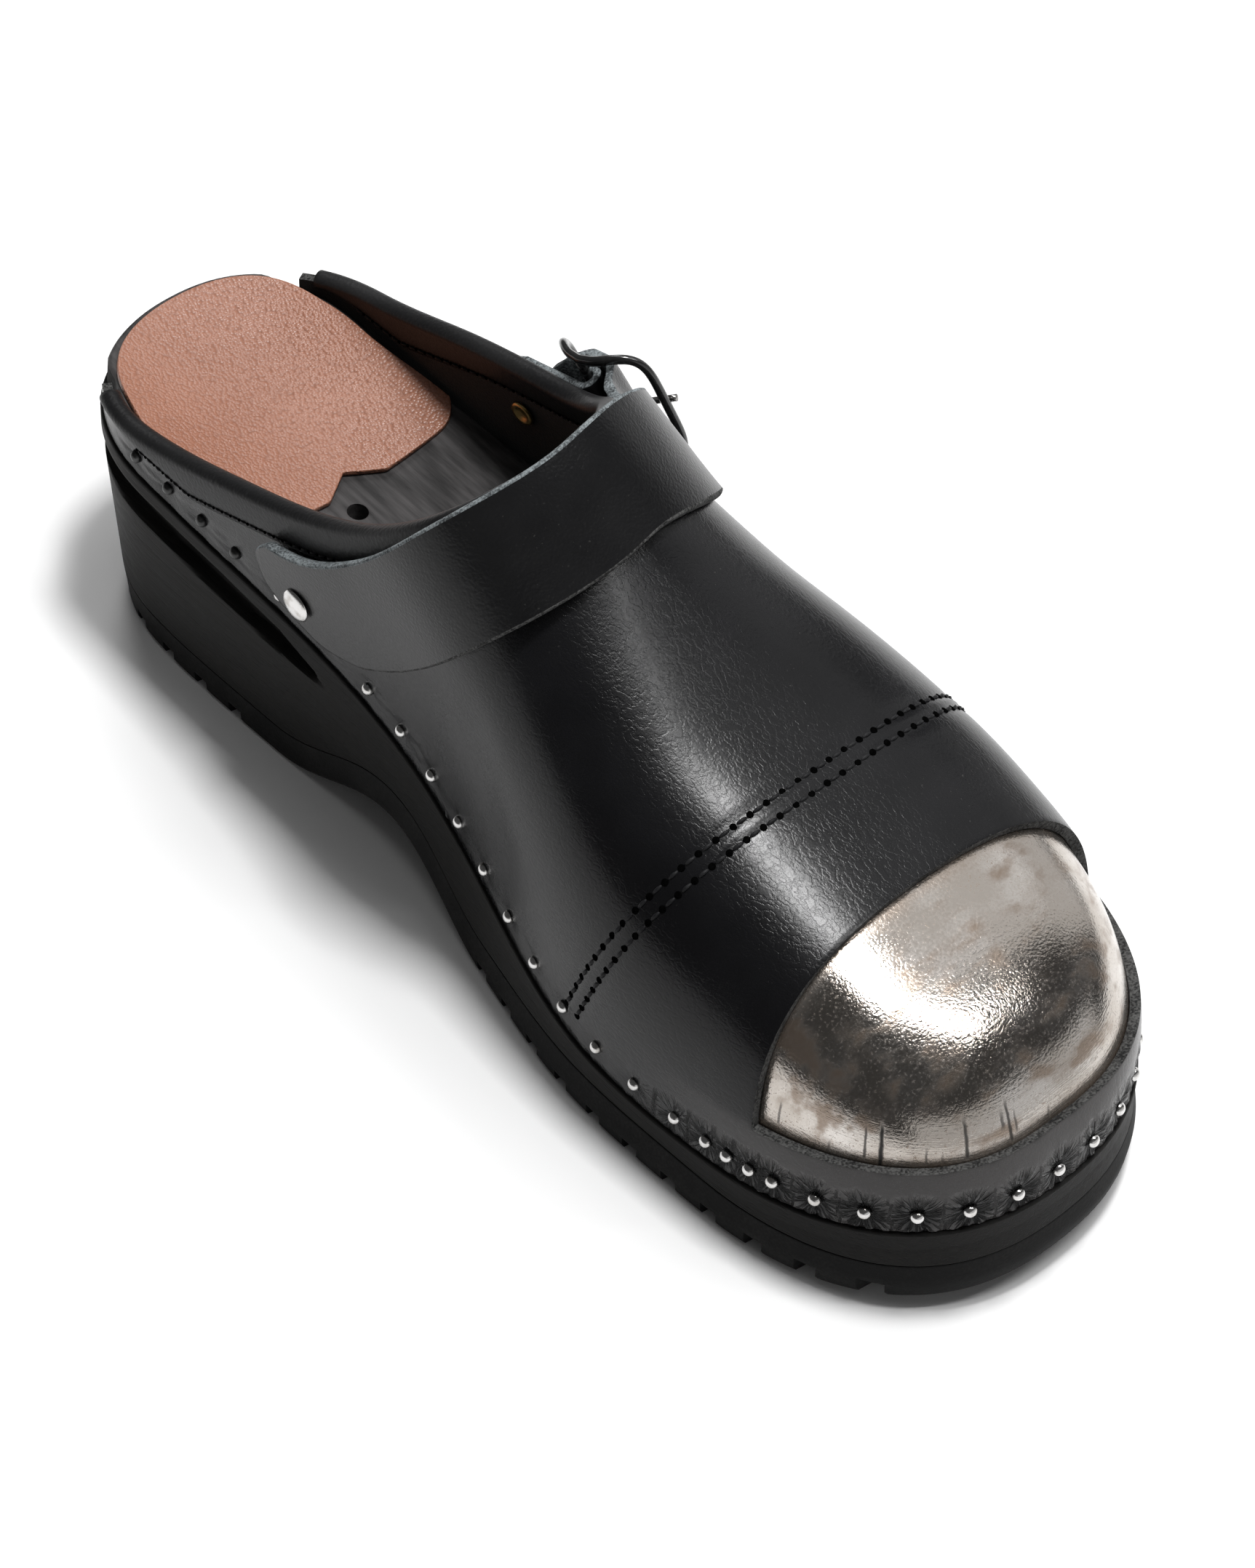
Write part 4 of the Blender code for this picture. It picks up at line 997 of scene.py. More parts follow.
@dataclass
class Nails:
    """Round nail heads along the leather's lower edge."""

    last: Last
    run_columns: tuple[str, ...] = ("first", "last", "count")       # lengths along the nails' line
    runs: tuple[tuple[float, float, int], ...] = (
        (17.7, 52.0, 4),
        (66.5, 81.0, 2),
        (95.4, 211.7, 11),
        (220.3, 237.5, 4),
        (247.2, 362.0, 12),
        (372.5, 384.5, 3),
        (398.0, 590.0, 11),
    )
    height: float = 4.3
    radius: float = 1.5
    rise: float = 1.2
    sink: float = 0.55
    dark_count: int = 4
    line_rear: float = 268.6
    line_corner: float = 44.5
    pull: float = 13.0          # how far a nail draws the leather
    dome_columns: tuple[str, ...] = ("radius", "height")
    dome: tuple[tuple[float, float], ...] = (
        (0.0, 1.0),
        (0.3, 0.96),
        (0.55, 0.84),
        (0.78, 0.6),
        (0.93, 0.3),
        (1.0, 0.0),
        (0.94, -0.3),
        (0.0, -0.35),
    )
    spots: Array = field(init=False)
    normals: Array = field(init=False)

    def __post_init__(self) -> None:
        """Lay the nails out along the line."""
        last = self.last
        q = np.linspace(self.line_rear, self.line_corner, 300)
        angles = [last.angle_at(q, self.height, side.value) for side in Side]
        medial, lateral = (last.point(q, angle, side.value) for angle, side in zip(angles, Side))
        share = np.linspace(0, 1, 200)
        toe = last.around_toe(self.line_corner, share, np.full_like(share, self.height))
        line = np.concatenate([medial, toe[1:-1], lateral[::-1]])
        at = np.concatenate([np.linspace(first, end, count) for first, end, count in self.runs])
        self.spots, self.normals = last.onto(along_line(line, at))

    def dimples(self, points: Array) -> Array:
        """Hollow and fan of puckers that each nail pulls into the leather.

        Args:
            points: Points of the leather.

        Returns:
            How far each point moves out.
        """
        total = np.zeros(len(points))
        for i, (spot, normal) in enumerate(zip(self.spots, self.normals)):
            away = points - spot
            far = np.linalg.norm(away, axis=1)
            near = far < self.pull
            up = unit(np.array((0.0, 0.0, 1.0)) - normal * normal[2])
            turn = np.arctan2(away[near] @ np.cross(normal, up), away[near] @ up)
            r = far[near]
            toe = smooth(spot[1] + self.last.length / 2, 70, 30)
            fan = np.cos(11 * turn + 1.7 * i) + 0.6 * np.cos(7 * turn + 2.9 * i)
            ripple = (0.06 + 0.12 * toe) * fan * bell(r - 4.2, 2.3)
            total[near] += ripple - (0.5 + 0.6 * toe) * bell(r, 2.7)
        return total

    def nearest(self, points: Array) -> Marks:
        """Place of each point against its nearest nail, and how near the toe it is.

        Args:
            points: Points of the leather.

        Returns:
            Values by the names of the marks.
        """
        far = np.linalg.norm(points[:, None] - self.spots[None], axis=-1)
        pick = far.argmin(1)
        away, normal = points - self.spots[pick], self.normals[pick]
        up = unit(np.array((0.0, 0.0, 1.0)) - normal * normal[:, 2:])
        aside = (away * np.cross(normal, up)).sum(-1)
        toe = smooth(points[:, 1] + self.last.length / 2, 80, 35)
        above = (away * up).sum(-1)
        number = pick.astype(float)
        return {"nail_x": aside, "nail_y": above, "nail_far": far.min(1), "nail_n": number, "toe": toe}

    def build(self, palette: Palette) -> bpy.types.Object:
        """Make all the heads as one piece."""
        skin = Skin()
        for i, (spot, normal) in enumerate(zip(self.spots, self.normals)):
            wobble = 0.06 * np.array((math.sin(2.1 * i), math.cos(3.3 * i), math.sin(5.7 * i)))
            profile = [(self.radius * r, GAP - self.sink + self.rise * z) for r, z in self.dome]
            turned(skin, profile, spot, normal + wobble, 18, int(i < self.dark_count))
        piece = skin.make("nails", [palette.nail, palette.dark_nail])
        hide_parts(*[f"nail_{i + 1:02d}" for i in range(len(self.spots))])
        return piece


@dataclass
class Upper:
    """Leather upper: vamp, wings and toe strip, with its seams and creases."""

    last: Last
    nails: Nails
    thick: float = 2.2
    throat: float = 147.0
    wing_end: float = 270.6
    window_corner: float = 44.5
    window_rear: float = 49.5
    window_bow: float = 0.75
    strip_top: float = 16.3
    strip_rows: int = 22
    wall_rows: int = 44
    vamp_columns: int = 76
    wing_columns: int = 84
    toe_columns: int = 210
    topline_columns: tuple[str, ...] = ("along", "medial", "lateral")
    topline_rows: tuple[Triple, ...] = (
        (0.08, 70.0, 73.0),
        (0.20, 52.5, 52.0),
        (0.37, 35.5, 37.0),
        (0.57, 23.5, 27.0),
        (0.78, 13.5, 16.0),
        (1.00, 7.5, 7.5),
    )
    seam_low: float = 96.0      # station of the seam at the leather's lower edge
    seam_sweep: float = 21.0    # how far forward it runs up to the crown
    seam_gap: float = 3.5
    stitch: tuple[float, ...] = (4.3, 2.666, 0.42, 0.4, 0.78)   # pitch, length, radius, rise, hole (radius of its painted shade disc)
    crease_span: float = 78.0   # millimetres that one step of a crease's place stands for
    # Creases: station and place round the section at both ends; place goes from -1 medial to 1 lateral
    crease_columns: tuple[str, ...] = ("from_q", "from_t", "to_q", "to_t", "depth", "width")
    creases: tuple[tuple[float, ...], ...] = (
        (134.0, -0.60, 138.0, 0.20, 0.55, 12.0),
        (109.0, -0.60, 113.0, 0.15, -0.5, 13.0),
        (132.0, 0.10, 122.0, 0.75, 0.3, 10.0),
        (80.0, -0.55, 62.0, -0.05, 0.30, 10.0),
        (140.0, -0.75, 120.0, -0.92, 0.4, 8.0),
        (84.0, 0.15, 70.0, 0.6, -0.3, 11.0),
    )
    corner_power: float = field(init=False)
    angles: Array = field(init=False)

    def __post_init__(self) -> None:
        """Spread the rows from the leather's lower edge to the crown."""
        corner = float(self.last.angle_at(self.window_corner, self.strip_top, -1.0))
        self.corner_power = float(self.last.power(self.window_corner, -1.0))
        strip = np.linspace(0, corner, self.strip_rows + 1)[:-1]
        self.angles = np.concatenate([strip, np.linspace(corner, QUARTER, self.wall_rows + 1)])

    def row_angle(self, share: Array) -> Array:
        """Section angle of a row, share going from the lower edge to the crown."""
        return np.interp(share, np.linspace(0, 1, len(self.angles)), self.angles)

    def window_edge(self, angle: Array) -> Array:
        """Station of the window's rear edge at a section angle."""
        corner = self.angles[self.strip_rows]
        share = np.clip((angle - corner) / (QUARTER - corner), 0, 1)
        return self.window_corner + (self.window_rear - self.window_corner) * share ** self.window_bow

    def wing_station(self, share: Array) -> Array:
        """Station along a wing, closer together near its rear end."""
        return self.throat + (self.wing_end - self.throat) * (1 - (1 - share ** 2) ** 2)

    def topline(self, q: Array, side: Side) -> Array:
        """Height of the collar above the leather's lower edge."""
        column = 1 if side is Side.MEDIAL else 2
        reach = self.wing_end - self.throat
        at = [self.throat] + [self.throat + row[0] * reach for row in self.topline_rows]
        heights = [float(self.last.crown(self.throat))] + [row[column] for row in self.topline_rows]
        return Spline(at, heights)(q)

    def collar_angle(self, q: Array, side: Side) -> Array:
        """Section angle of the collar at a station."""
        return self.last.angle_at(q, self.topline(q, side), side.value)

    def seam_station(self, share: Array) -> Array:
        """Station of the front stitch row at a height share."""
        return self.seam_low - self.seam_sweep * share

    def place_round(self, points: Array) -> tuple[Array, Array, Array]:
        """Station, height share and place round the section: -1 medial lower edge, 0 crown, 1 lateral."""
        q = points[:, 1] + self.last.length / 2
        height = np.clip((points[:, 2] - self.last.feather(q)) / np.maximum(self.last.crown(q), 1), 0, 1)
        lean = self.last.curves["lean"](q) * height ** 2
        side = np.where(points[:, 0] - self.last.centre(q) - lean < 0, -1.0, 1.0)
        angle = np.arcsin(height ** (self.last.power(q, side) / 2))
        return q, height, side * (1 - angle / QUARTER)

    def relief(self, points: Array) -> Array:
        """How far the leather stands off the last: creases, seam rows and nail puckers."""
        q, height, t = self.place_round(points)
        total = self.nails.dimples(points)
        for from_q, from_t, to_q, to_t, depth, width in self.creases:
            way = np.array((to_q - from_q, (to_t - from_t) * self.crease_span))
            size = np.linalg.norm(way)
            offset = np.stack([q - from_q, (t - from_t) * self.crease_span], -1)
            share = offset @ way / size ** 2
            away = (offset[:, 0] * way[1] - offset[:, 1] * way[0]) / size
            ends = smooth(share, -0.25, 0.2) * (1 - smooth(share, 0.8, 1.25))
            total -= depth * bell(away, width) * ends
        ahead = q - self.seam_station(height)
        on_vamp = smooth(height, 0.06, 0.1)
        rows = bell(ahead, 1.2) + bell(ahead - self.seam_gap, 1.2)
        total += on_vamp * (0.3 * bell(ahead - self.seam_gap / 2, 1.1) - 0.3 * rows)
        return total

    def laid(self, points: Array) -> Array:
        """Grid of points moved by the relief along the last's normals."""
        flat = points.reshape(-1, 3)
        normal = unit(self.last.gradient(flat))
        return (flat + normal * self.relief(flat)[:, None]).reshape(points.shape)

    def vamp(self) -> Array:
        """Grid of the vamp, from the window back to the throat."""
        v, u = spread(2 * len(self.angles) - 1, self.vamp_columns + 1)
        angle = self.row_angle(1 - np.abs(2 * v - 1))
        front = self.window_edge(angle)
        return self.last.point(front + (self.throat - front) * u, angle, np.where(v < 0.5, -1.0, 1.0))

    def wing(self, side: Side) -> Array:
        """Grid of one wing."""
        v, u = spread(len(self.angles), self.wing_columns + 1)
        q = self.wing_station(u)
        return self.last.point(q, self.row_angle(v) * self.collar_angle(q, side) / QUARTER, side.value)

    def strip(self) -> Array:
        """Grid of the leather left below the window."""
        rows = []
        share = np.linspace(0, 1, self.toe_columns + 1)
        for angle in self.angles[:self.strip_rows + 1]:
            height = float(self.last.crown(self.window_corner)) * math.sin(angle) ** (2 / self.corner_power)
            rows.append(self.last.around_toe(self.window_corner, share, np.full_like(share, height)))
        return np.stack(rows)

    def build(self, palette: Palette) -> bpy.types.Object:
        """Make the upper with its lining and raw edges."""
        skin = Skin()
        for points in (self.vamp(), self.wing(Side.MEDIAL), self.wing(Side.LATERAL), self.strip()):
            skin.grid(self.laid(points), marks=self.nails.nearest(points.reshape(-1, 3)))
        materials = [palette.upper, palette.lining, palette.window_edge]
        piece = skin.make("upper_leather", materials, (0.0, -60.0, 40.0), weld=0.03)
        wall(piece, self.thick, 1, 2)
        soften(piece, 0.45)
        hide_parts("upper")
        return piece

    def seam_line(self, back: float) -> tuple[Array, Array]:
        """Stitch row across the vamp, back being its distance behind the front row."""
        sides = []
        for side in Side:
            share = np.linspace(0.09, 1.0, 160)
            q = self.seam_station(share) + back
            angle = self.last.angle_at(q, share * self.last.crown(q), side.value)
            sides.append(self.last.point(q, angle, side.value))
        line = np.concatenate([sides[0], sides[1][::-1][1:]])
        normal = unit(self.last.gradient(line))
        return line + normal * self.relief(line)[:, None], normal

    def build_seam(self, palette: Palette) -> bpy.types.Object:
        """Make the double stitch row over the vamp."""
        skin = Skin()
        for back in (0.0, self.seam_gap):
            line, normal = self.seam_line(back)
            stitches(skin, line, normal, *self.stitch)
        piece = skin.make("vamp_stitches", [palette.thread, palette.painted_hole_shade], weld=FINE_WELD)
        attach(piece, BODY)
        return piece


@dataclass
class Collar:
    """Binding folded over the topline, with its stitch rows."""

    last: Last
    upper: Upper
    width: float = 8.4
    thick: float = 0.9
    end: float = 0.965
    samples: int = 150
    loose: float = 0.1          # how much further off the outer leg lies
    roll: float = 0.75          # height of the rolled rim against its half width
    back_inside: float = 0.25   # the binding's hidden faces off the leather
    back_outside: float = 0.15
    low_rest: tuple[float, float] = (8.4, 8.5)      # leather left bare below each leg
    stitch: tuple[float, ...] = (3.0, 2.1, 0.27, 0.3, 0.35)     # pitch, length, radius, rise, hole (radius of its painted shade disc)
    stitch_stand: float = 0.95

    def line(self) -> tuple[Array, Array]:
        """The topline from the medial end to the lateral one, and the collar's height along it."""
        q = self.upper.wing_station(np.linspace(0, 1, self.samples))
        stop = self.upper.throat + (self.upper.wing_end - self.upper.throat) * self.end
        q = np.append(q[q < stop], stop)
        sides = []
        for side in Side:
            spot = self.last.point(q, self.upper.collar_angle(q, side), side.value)
            sides.append(np.column_stack([spot, self.upper.topline(q, side)]))
        line = np.concatenate([sides[0][::-1], sides[1][1:]])
        run = run_of(line[:, :3])
        at = np.linspace(0, run[-1], 2 * self.samples)
        line = np.stack([np.interp(at, run, line[:, i]) for i in range(4)], -1)
        return line[:, :3], line[:, 3]

    def ways(self, line: Array) -> tuple[Array, Array]:
        """Normals and the ways down from the topline."""
        normal = self.last.onto(line)[1]
        down = unit(np.cross(normal, unit(np.gradient(line, axis=0))))
        return normal, down * -np.sign(down[:, 2].mean())

    def legs(self, height: Array) -> tuple[Array, Array]:
        """Widths of the binding outside and inside, less where the wing gets low."""
        outer, inner = (np.clip(height - rest, 1.0, self.width) for rest in self.low_rest)
        return outer, inner

    def build(self, palette: Palette) -> bpy.types.Object:
        """Make the binding with its rolled rim."""
        line, height = self.line()
        down = self.ways(line)[1]
        outer, inner = self.legs(height)
        middle = self.upper.thick / 2
        shares = (0.0, 0.2, 0.4, 0.6, 0.8, 0.93, 1.0)
        reach = middle + GAP + self.thick + self.loose
        section: list[tuple[Array, float]] = []
        for share in shares[::-1]:
            section.append((outer * share, GAP + self.thick * (1 - share ** 4) + self.loose))
        for turn in np.radians(np.arange(15, 180, 15)):
            drop = np.full_like(outer, -self.roll * reach * math.sin(turn))
            section.append((drop, reach * math.cos(turn) - middle))
        for share in shares:
            section.append((inner * share, -(self.upper.thick + GAP + self.thick * (1 - share ** 4))))
        for share in (1.0, 0.5, 0.0):
            section.append((inner * share, -(self.upper.thick + self.back_inside)))
        for share in (0.0, 0.5, 1.0):
            section.append((outer * share, self.back_outside))
        rows = []
        for drop, stand in section:
            spot = line + down * np.maximum(drop, 0)[:, None]
            rows.append(self.last.onto(spot, stand)[0] + down * np.minimum(drop, 0)[:, None])
        skin = Skin()
        skin.grid(np.stack(rows, 1), True)
        piece = skin.make("collar_binding_leather", [palette.binding], weld=FINE_WELD, close=True)
        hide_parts("collar_binding")
        return piece

    def build_stitches(self, palette: Palette) -> bpy.types.Object:
        """Make the stitch rows near the binding's lower edges, outside and inside."""
        line, height = self.line()
        normal, down = self.ways(line)
        skin = Skin()
        stands = (self.stitch_stand, -(self.upper.thick + self.stitch_stand))
        for leg, stand, sign in zip(self.legs(height), stands, (1.0, -1.0)):
            kept = leg > 3.0
            spot = self.last.onto((line + down * (leg * 0.8)[:, None])[kept], stand)[0]
            stitches(skin, spot, sign * normal[kept], *self.stitch)
        piece = skin.make("binding_stitches", [palette.thread, palette.painted_hole_shade], weld=FINE_WELD)
        return piece


@dataclass
class ToeCap:
    """Bare steel cap inside the window."""

    last: Last
    upper: Upper
    steel: float = 1.8
    end: float = 66.0
    foot: float = 6.3
    columns: int = 110
    rows: int = 60
    stain_rear: float = 9.0     # widths of the stained zones along the edges
    stain_foot: float = 8.0
    stain_from: float = 8.0     # height below which the leather hides the steel

    def build(self, palette: Palette) -> bpy.types.Object:
        """Make the dome and mark its stained and scratched zones."""
        last = self.last
        v, u = spread(self.rows + 1, self.columns + 1)
        turn, lift = (u.ravel() - 0.5) * math.pi, v.ravel() * QUARTER
        start = np.array((float(last.centre(self.end)), self.end, self.foot))
        way = np.stack([np.sin(turn) * np.cos(lift), -np.cos(turn) * np.cos(lift), np.sin(lift)], -1)
        spot = start + way * last.ray_hit(np.broadcast_to(start, way.shape), way)[:, None]
        q, height = spot[:, 1], spot[:, 2]
        rear = np.clip(1 - (self.upper.window_rear - q) / self.stain_rear, 0, 1)
        foot = np.clip(1 - (height - self.upper.strip_top) / self.stain_foot, 0, 1)
        edge = np.maximum(rear, foot) * (height > self.stain_from)
        dome = last.set_down(spot, last.feather(q) + height)
        points = last.onto(dome, -(self.upper.thick + GAP))[0].reshape(*v.shape, 3)
        skin = Skin()
        skin.grid(points, marks={"edge": edge, "turn": np.degrees(turn), "height": height})
        piece = skin.make("toe_cap_steel", [palette.cap], (0.0, -90.0, 30.0))
        wall(piece, self.steel)
        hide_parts("toe_cap")
        return piece


@dataclass
class Sole:
    """Wooden sole, rubber outsole and heel sock."""

    last: Last
    upper: Upper
    axis: tuple[float, float] = (56.0, 248.0)
    arcs: tuple[int, int, int] = (90, 70, 80)
    lip: float = 0.6
    lip_height: float = 5.0
    footbed_rim: float = 6.0
    heel_cup: float = 4.5
    forefoot_cup: float = 1.0
    toe_spring: float = 4.5
    spring_from: float = 62.0
    arch: Triple = (128.0, 205.0, 12.0)     # first and last station, rise
    flare: float = 2.0
    heel_taper: float = -4.0
    rubber: float = 9.0
    groove: tuple[float, float, float, float] = (190.0, 7.0, 3.2, 16.0)    # from, height, depth, taper
    hole: tuple[float, float, float, float] = (-6.5, 213.0, 2.4, 6.0)      # x, station, radius, depth
    tread_runs: tuple[tuple[float, float, int], ...] = ((9.0, 119.0, 11), (213.0, 273.0, 6))
    tread: tuple[float, float, float, float] = (4.2, 3.4, 9.0, 10.0)       # width, depth, rib, slant
    sock_thick: float = 1.3
    # Sock: front station, depth and width of the notch, sweep of the corners and share of the width
    sock: tuple[float, float, float, float, float] = (217.5, 5.0, 0.26, 5.0, 0.965)
    sock_front: float = 1.02    # share of the width at the front
    sock_grid: tuple[int, int] = (46, 217)
    bed_inset: float = 1.5      # footbed's rounded edge
    axis_points: Array = field(init=False)
    rim: Array = field(init=False)
    out: Array = field(init=False)

    def __post_init__(self) -> None:
        """Work out the plan's outline and the ways out from it."""
        toe = np.linspace(-0.5, 0.5, self.arcs[0] + 1) * math.pi
        heel = np.linspace(0.5, 1.5, self.arcs[1] + 1) * math.pi
        side = np.linspace(*self.axis, self.arcs[2] + 1)[1:-1]
        turn = np.concatenate([toe, np.full(len(side), QUARTER), heel, np.full(len(side), 3 * QUARTER)])
        front, back = np.full(len(toe), self.axis[0]), np.full(len(heel), self.axis[1])
        q = np.concatenate([front, side, back, side[::-1]])
        self.axis_points = self.last.middle_line(q)
        way = heading(turn)
        self.rim = self.axis_points + way * self.last.ray_hit(self.axis_points, way)[:, None]
        along = unit(np.roll(self.rim, -1, 0) - np.roll(self.rim, 1, 0))
        self.out = np.stack([along[:, 1], -along[:, 0], np.zeros(len(self.rim))], -1)

    def ring(self, grow: Any, height: Callable[[Array], Array], share: float = 1.0) -> Array:
        """The outline moved out by grow and shrunk to the middle line by share, at each station's height."""
        edge = self.rim + self.out * np.reshape(grow, (-1, 1))
        spot = self.axis_points + (edge - self.axis_points) * share
        return self.last.set_down(spot, height(spot[:, 1]))

    def ground(self, q: Array) -> Array:
        """Height of the tread's lower face above the floor."""
        first, end, rise = self.arch
        spring = self.toe_spring * np.clip((self.spring_from - q) / self.spring_from, 0, 2) ** 2
        return spring + rise * np.sin(math.pi * np.clip((q - first) / (end - first), 0, 1)) ** 2

    def footbed(self, q: Array, share: Any) -> Array:
        """Height of the footbed; share is 0 on the middle line and 1 at the edge."""
        cup = self.forefoot_cup + (self.heel_cup - self.forefoot_cup) * smooth(q, 150, 215)
        return self.last.feather(q) + self.footbed_rim - cup * (1 - share ** 2)

    def tread_grow(self, q: Array) -> Array:
        """Outline of the tread against the leather's."""
        return self.flare * (1 - smooth(q, 130, 200)) + self.heel_taper * smooth(q, 235, 284)

    def wall_grow(self, q: Array, z: Array) -> Array:
        """Outline of the side wall at a height."""
        top = self.last.feather(q) - self.lip_height
        share = np.clip((z - self.ground(q)) / np.maximum(top - self.ground(q), 1), 0, 1)
        return self.tread_grow(q) + (self.lip - self.tread_grow(q)) * share

    def parting(self, q: Array) -> Array:
        """Height of the face between rubber and wood."""
        return self.ground(q) + self.rubber

    def groove_depth(self, q: Array, z: Array) -> Array:
        """Depth of the routed groove at a height of the wall."""
        first, tall, deep, taper = self.groove
        narrow = np.clip((q - first) / taper, 0, 1) ** 0.5
        middle = self.last.feather(q) - self.lip_height - tall / 2
        half = np.maximum(tall / 2 * narrow, 0.01)
        return deep * (1 - smooth(np.abs(z - middle) - half, -0.7, 0.25)) * smooth(narrow, 0.05, 0.35)

    def build_wood(self, palette: Palette) -> bpy.types.Object:
        """Make the wooden sole."""
        q = self.rim[:, 1]
        depth = self.upper.thick + 2 * GAP
        rabbet = -depth + depth * smooth(q, self.upper.wing_end + 2, self.upper.wing_end + 8)
        feather = self.last.feather
        shares = np.linspace(0, 1, 22)
        bed = [self.ring(rabbet - self.bed_inset, lambda at, s=s: self.footbed(at, s), s) for s in shares]
        bed.append(self.ring(rabbet - 0.8, lambda at: self.footbed(at, 1.0) - 0.25))
        bed.append(self.ring(rabbet - GAP, lambda at: self.footbed(at, 1.0) - 1.0))
        sides = [bed[-1], self.ring(rabbet, lambda at: feather(at) - GAP)]
        for inset, drop in ((0.7, 0.0), (0.25, 0.12), (0.0, 0.6)):
            sides.append(self.ring(self.lip - inset, lambda at, d=drop: feather(at) - GAP - d))
        under = self.parting(q) + GAP
        top = np.maximum(feather(q) - 0.9, under + 0.3)
        for share in np.linspace(0, 1, 56):
            z = top + (under - top) * share
            grow = np.minimum(self.wall_grow(q, z), np.where(z > feather(q) - self.lip_height, self.lip, 99))
            edge = self.rim + self.out * (grow - self.groove_depth(q, z))[:, None]
            sides.append(self.last.set_down(edge, z))
        inner = self.wall_grow(q, under)
        sides += [self.ring(inner, lambda at: self.parting(at) + GAP, s) for s in (0.6, 0.0)]
        skin = Skin()
        skin.grid(np.stack(bed), True, 0)
        skin.grid(np.stack(sides), True, 1)
        piece = skin.make("wood_sole_painted", [palette.footbed, palette.wood_side])
        x, station, radius, deep = self.hole
        spot = np.array((x, station - self.last.length / 2, float(self.footbed(np.array(station), 0.0))))
        carve(piece, rods(spot[None], np.array(((0.0, 0.0, 1.0),)), radius, 2 * deep, 28))
        soften(piece, 0.3, 1)
        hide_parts("wood_sole")
        return piece

    def build_outsole(self, palette: Palette) -> bpy.types.Object:
        """Make the rubber outsole and cut its tread."""
        q = self.rim[:, 1]
        low = self.tread[1] + 0.6
        grow = self.tread_grow(q)
        top = self.wall_grow(q, self.parting(q))
        rows = [self.ring(top, self.parting, s) for s in (0.0, 0.6, 0.98, 1.0)]
        for share in (0.9, 0.6, 0.3, 0.0):
            rise = low + (self.rubber - low) * share
            rows.append(self.ring(grow + (top - grow) * share, lambda at, rise=rise: self.ground(at) + rise))
        rows.append(self.ring(grow - 0.2, lambda at: self.ground(at) + 1.2))
        rows += [self.ring(grow - 0.8, self.ground, s) for s in (1.0, 0.6, 0.0)]
        skin = Skin()
        skin.grid(np.stack(rows), True)
        piece = skin.make("outsole_rubber", [palette.rubber])
        carve(piece, self.tread_cutter())
        soften(piece, 0.35, 1)
        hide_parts("outsole")
        return piece

    def tread_cutter(self) -> bpy.types.Object:
        """Slanted bars on each side of the middle rib."""
        width, deep, rib, slant = self.tread
        mesh = bmesh.new()
        for first, end, count in self.tread_runs:
            for q in np.linspace(first, end, count):
                for side in Side:
                    made = bmesh.ops.create_cube(mesh, size=1.0)["verts"]
                    bmesh.ops.scale(mesh, verts=made, vec=(80.0, width, 20.0))
                    shift = (side.value * (40.0 + rib / 2), 0.0, deep - 10.0)
                    bmesh.ops.translate(mesh, verts=made, vec=shift)
                    slope = math.tan(math.radians(side.value * slant))
                    for vert in made:
                        vert.co.y += vert.co.x * slope
                    place = (float(self.last.centre(q)), q - self.last.length / 2, float(self.ground(q)))
                    bmesh.ops.translate(mesh, verts=made, vec=Vector(place) + Vector(SHIFT))
        bmesh.ops.scale(mesh, vec=(MM, MM, MM), verts=mesh.verts)
        return meshed("cutter", mesh)

    def build_sock(self, palette: Palette) -> bpy.types.Object:
        """Make the heel sock with its notched front edge."""
        last, upper = self.last, self.upper
        front, notch, notch_width, corner, inset = self.sock
        v, u = spread(*self.sock_grid)
        shape = v.shape
        u, v = u.ravel(), v.ravel()
        part = np.clip(np.stack([u * 3, u * 3 - 1, u * 3 - 2]), 0, 1)
        edge = front + notch * np.clip(1 - v / notch_width, 0, 1)
        edge = edge + corner * np.clip((v - 0.7) / 0.3, 0, 1) ** 3
        along = np.where(u < 0.5, part[0], 1 - part[2])
        q = np.where((u <= 1 / 3) | (u >= 2 / 3), edge + (self.axis[1] - edge) * along, self.axis[1])
        turn = math.pi * (1.5 - part[1])
        start = last.middle_line(q)
        way = heading(turn)
        reach = last.ray_hit(start, way)
        behind = smooth(start[:, 1] + way[:, 1] * reach, upper.wing_end - 8, upper.wing_end + 12)
        reach = reach - (upper.thick + 2 * GAP) * (1 - behind) - self.bed_inset
        wide = inset + (self.sock_front - inset) * (1 - smooth(q, front + 8, front + 34))
        spot = start + way * (reach * wide * v)[:, None]
        z = self.footbed(spot[:, 1], v * inset) + GAP + self.sock_thick
        skin = Skin()
        skin.grid(last.set_down(spot, z).reshape(*shape, 3))
        piece = skin.make("heel_sock_leather", [palette.sock], (0.0, 100.0, 20.0))
        wall(piece, self.sock_thick)
        soften(piece, 0.4)
        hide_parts("heel_sock")
        return piece


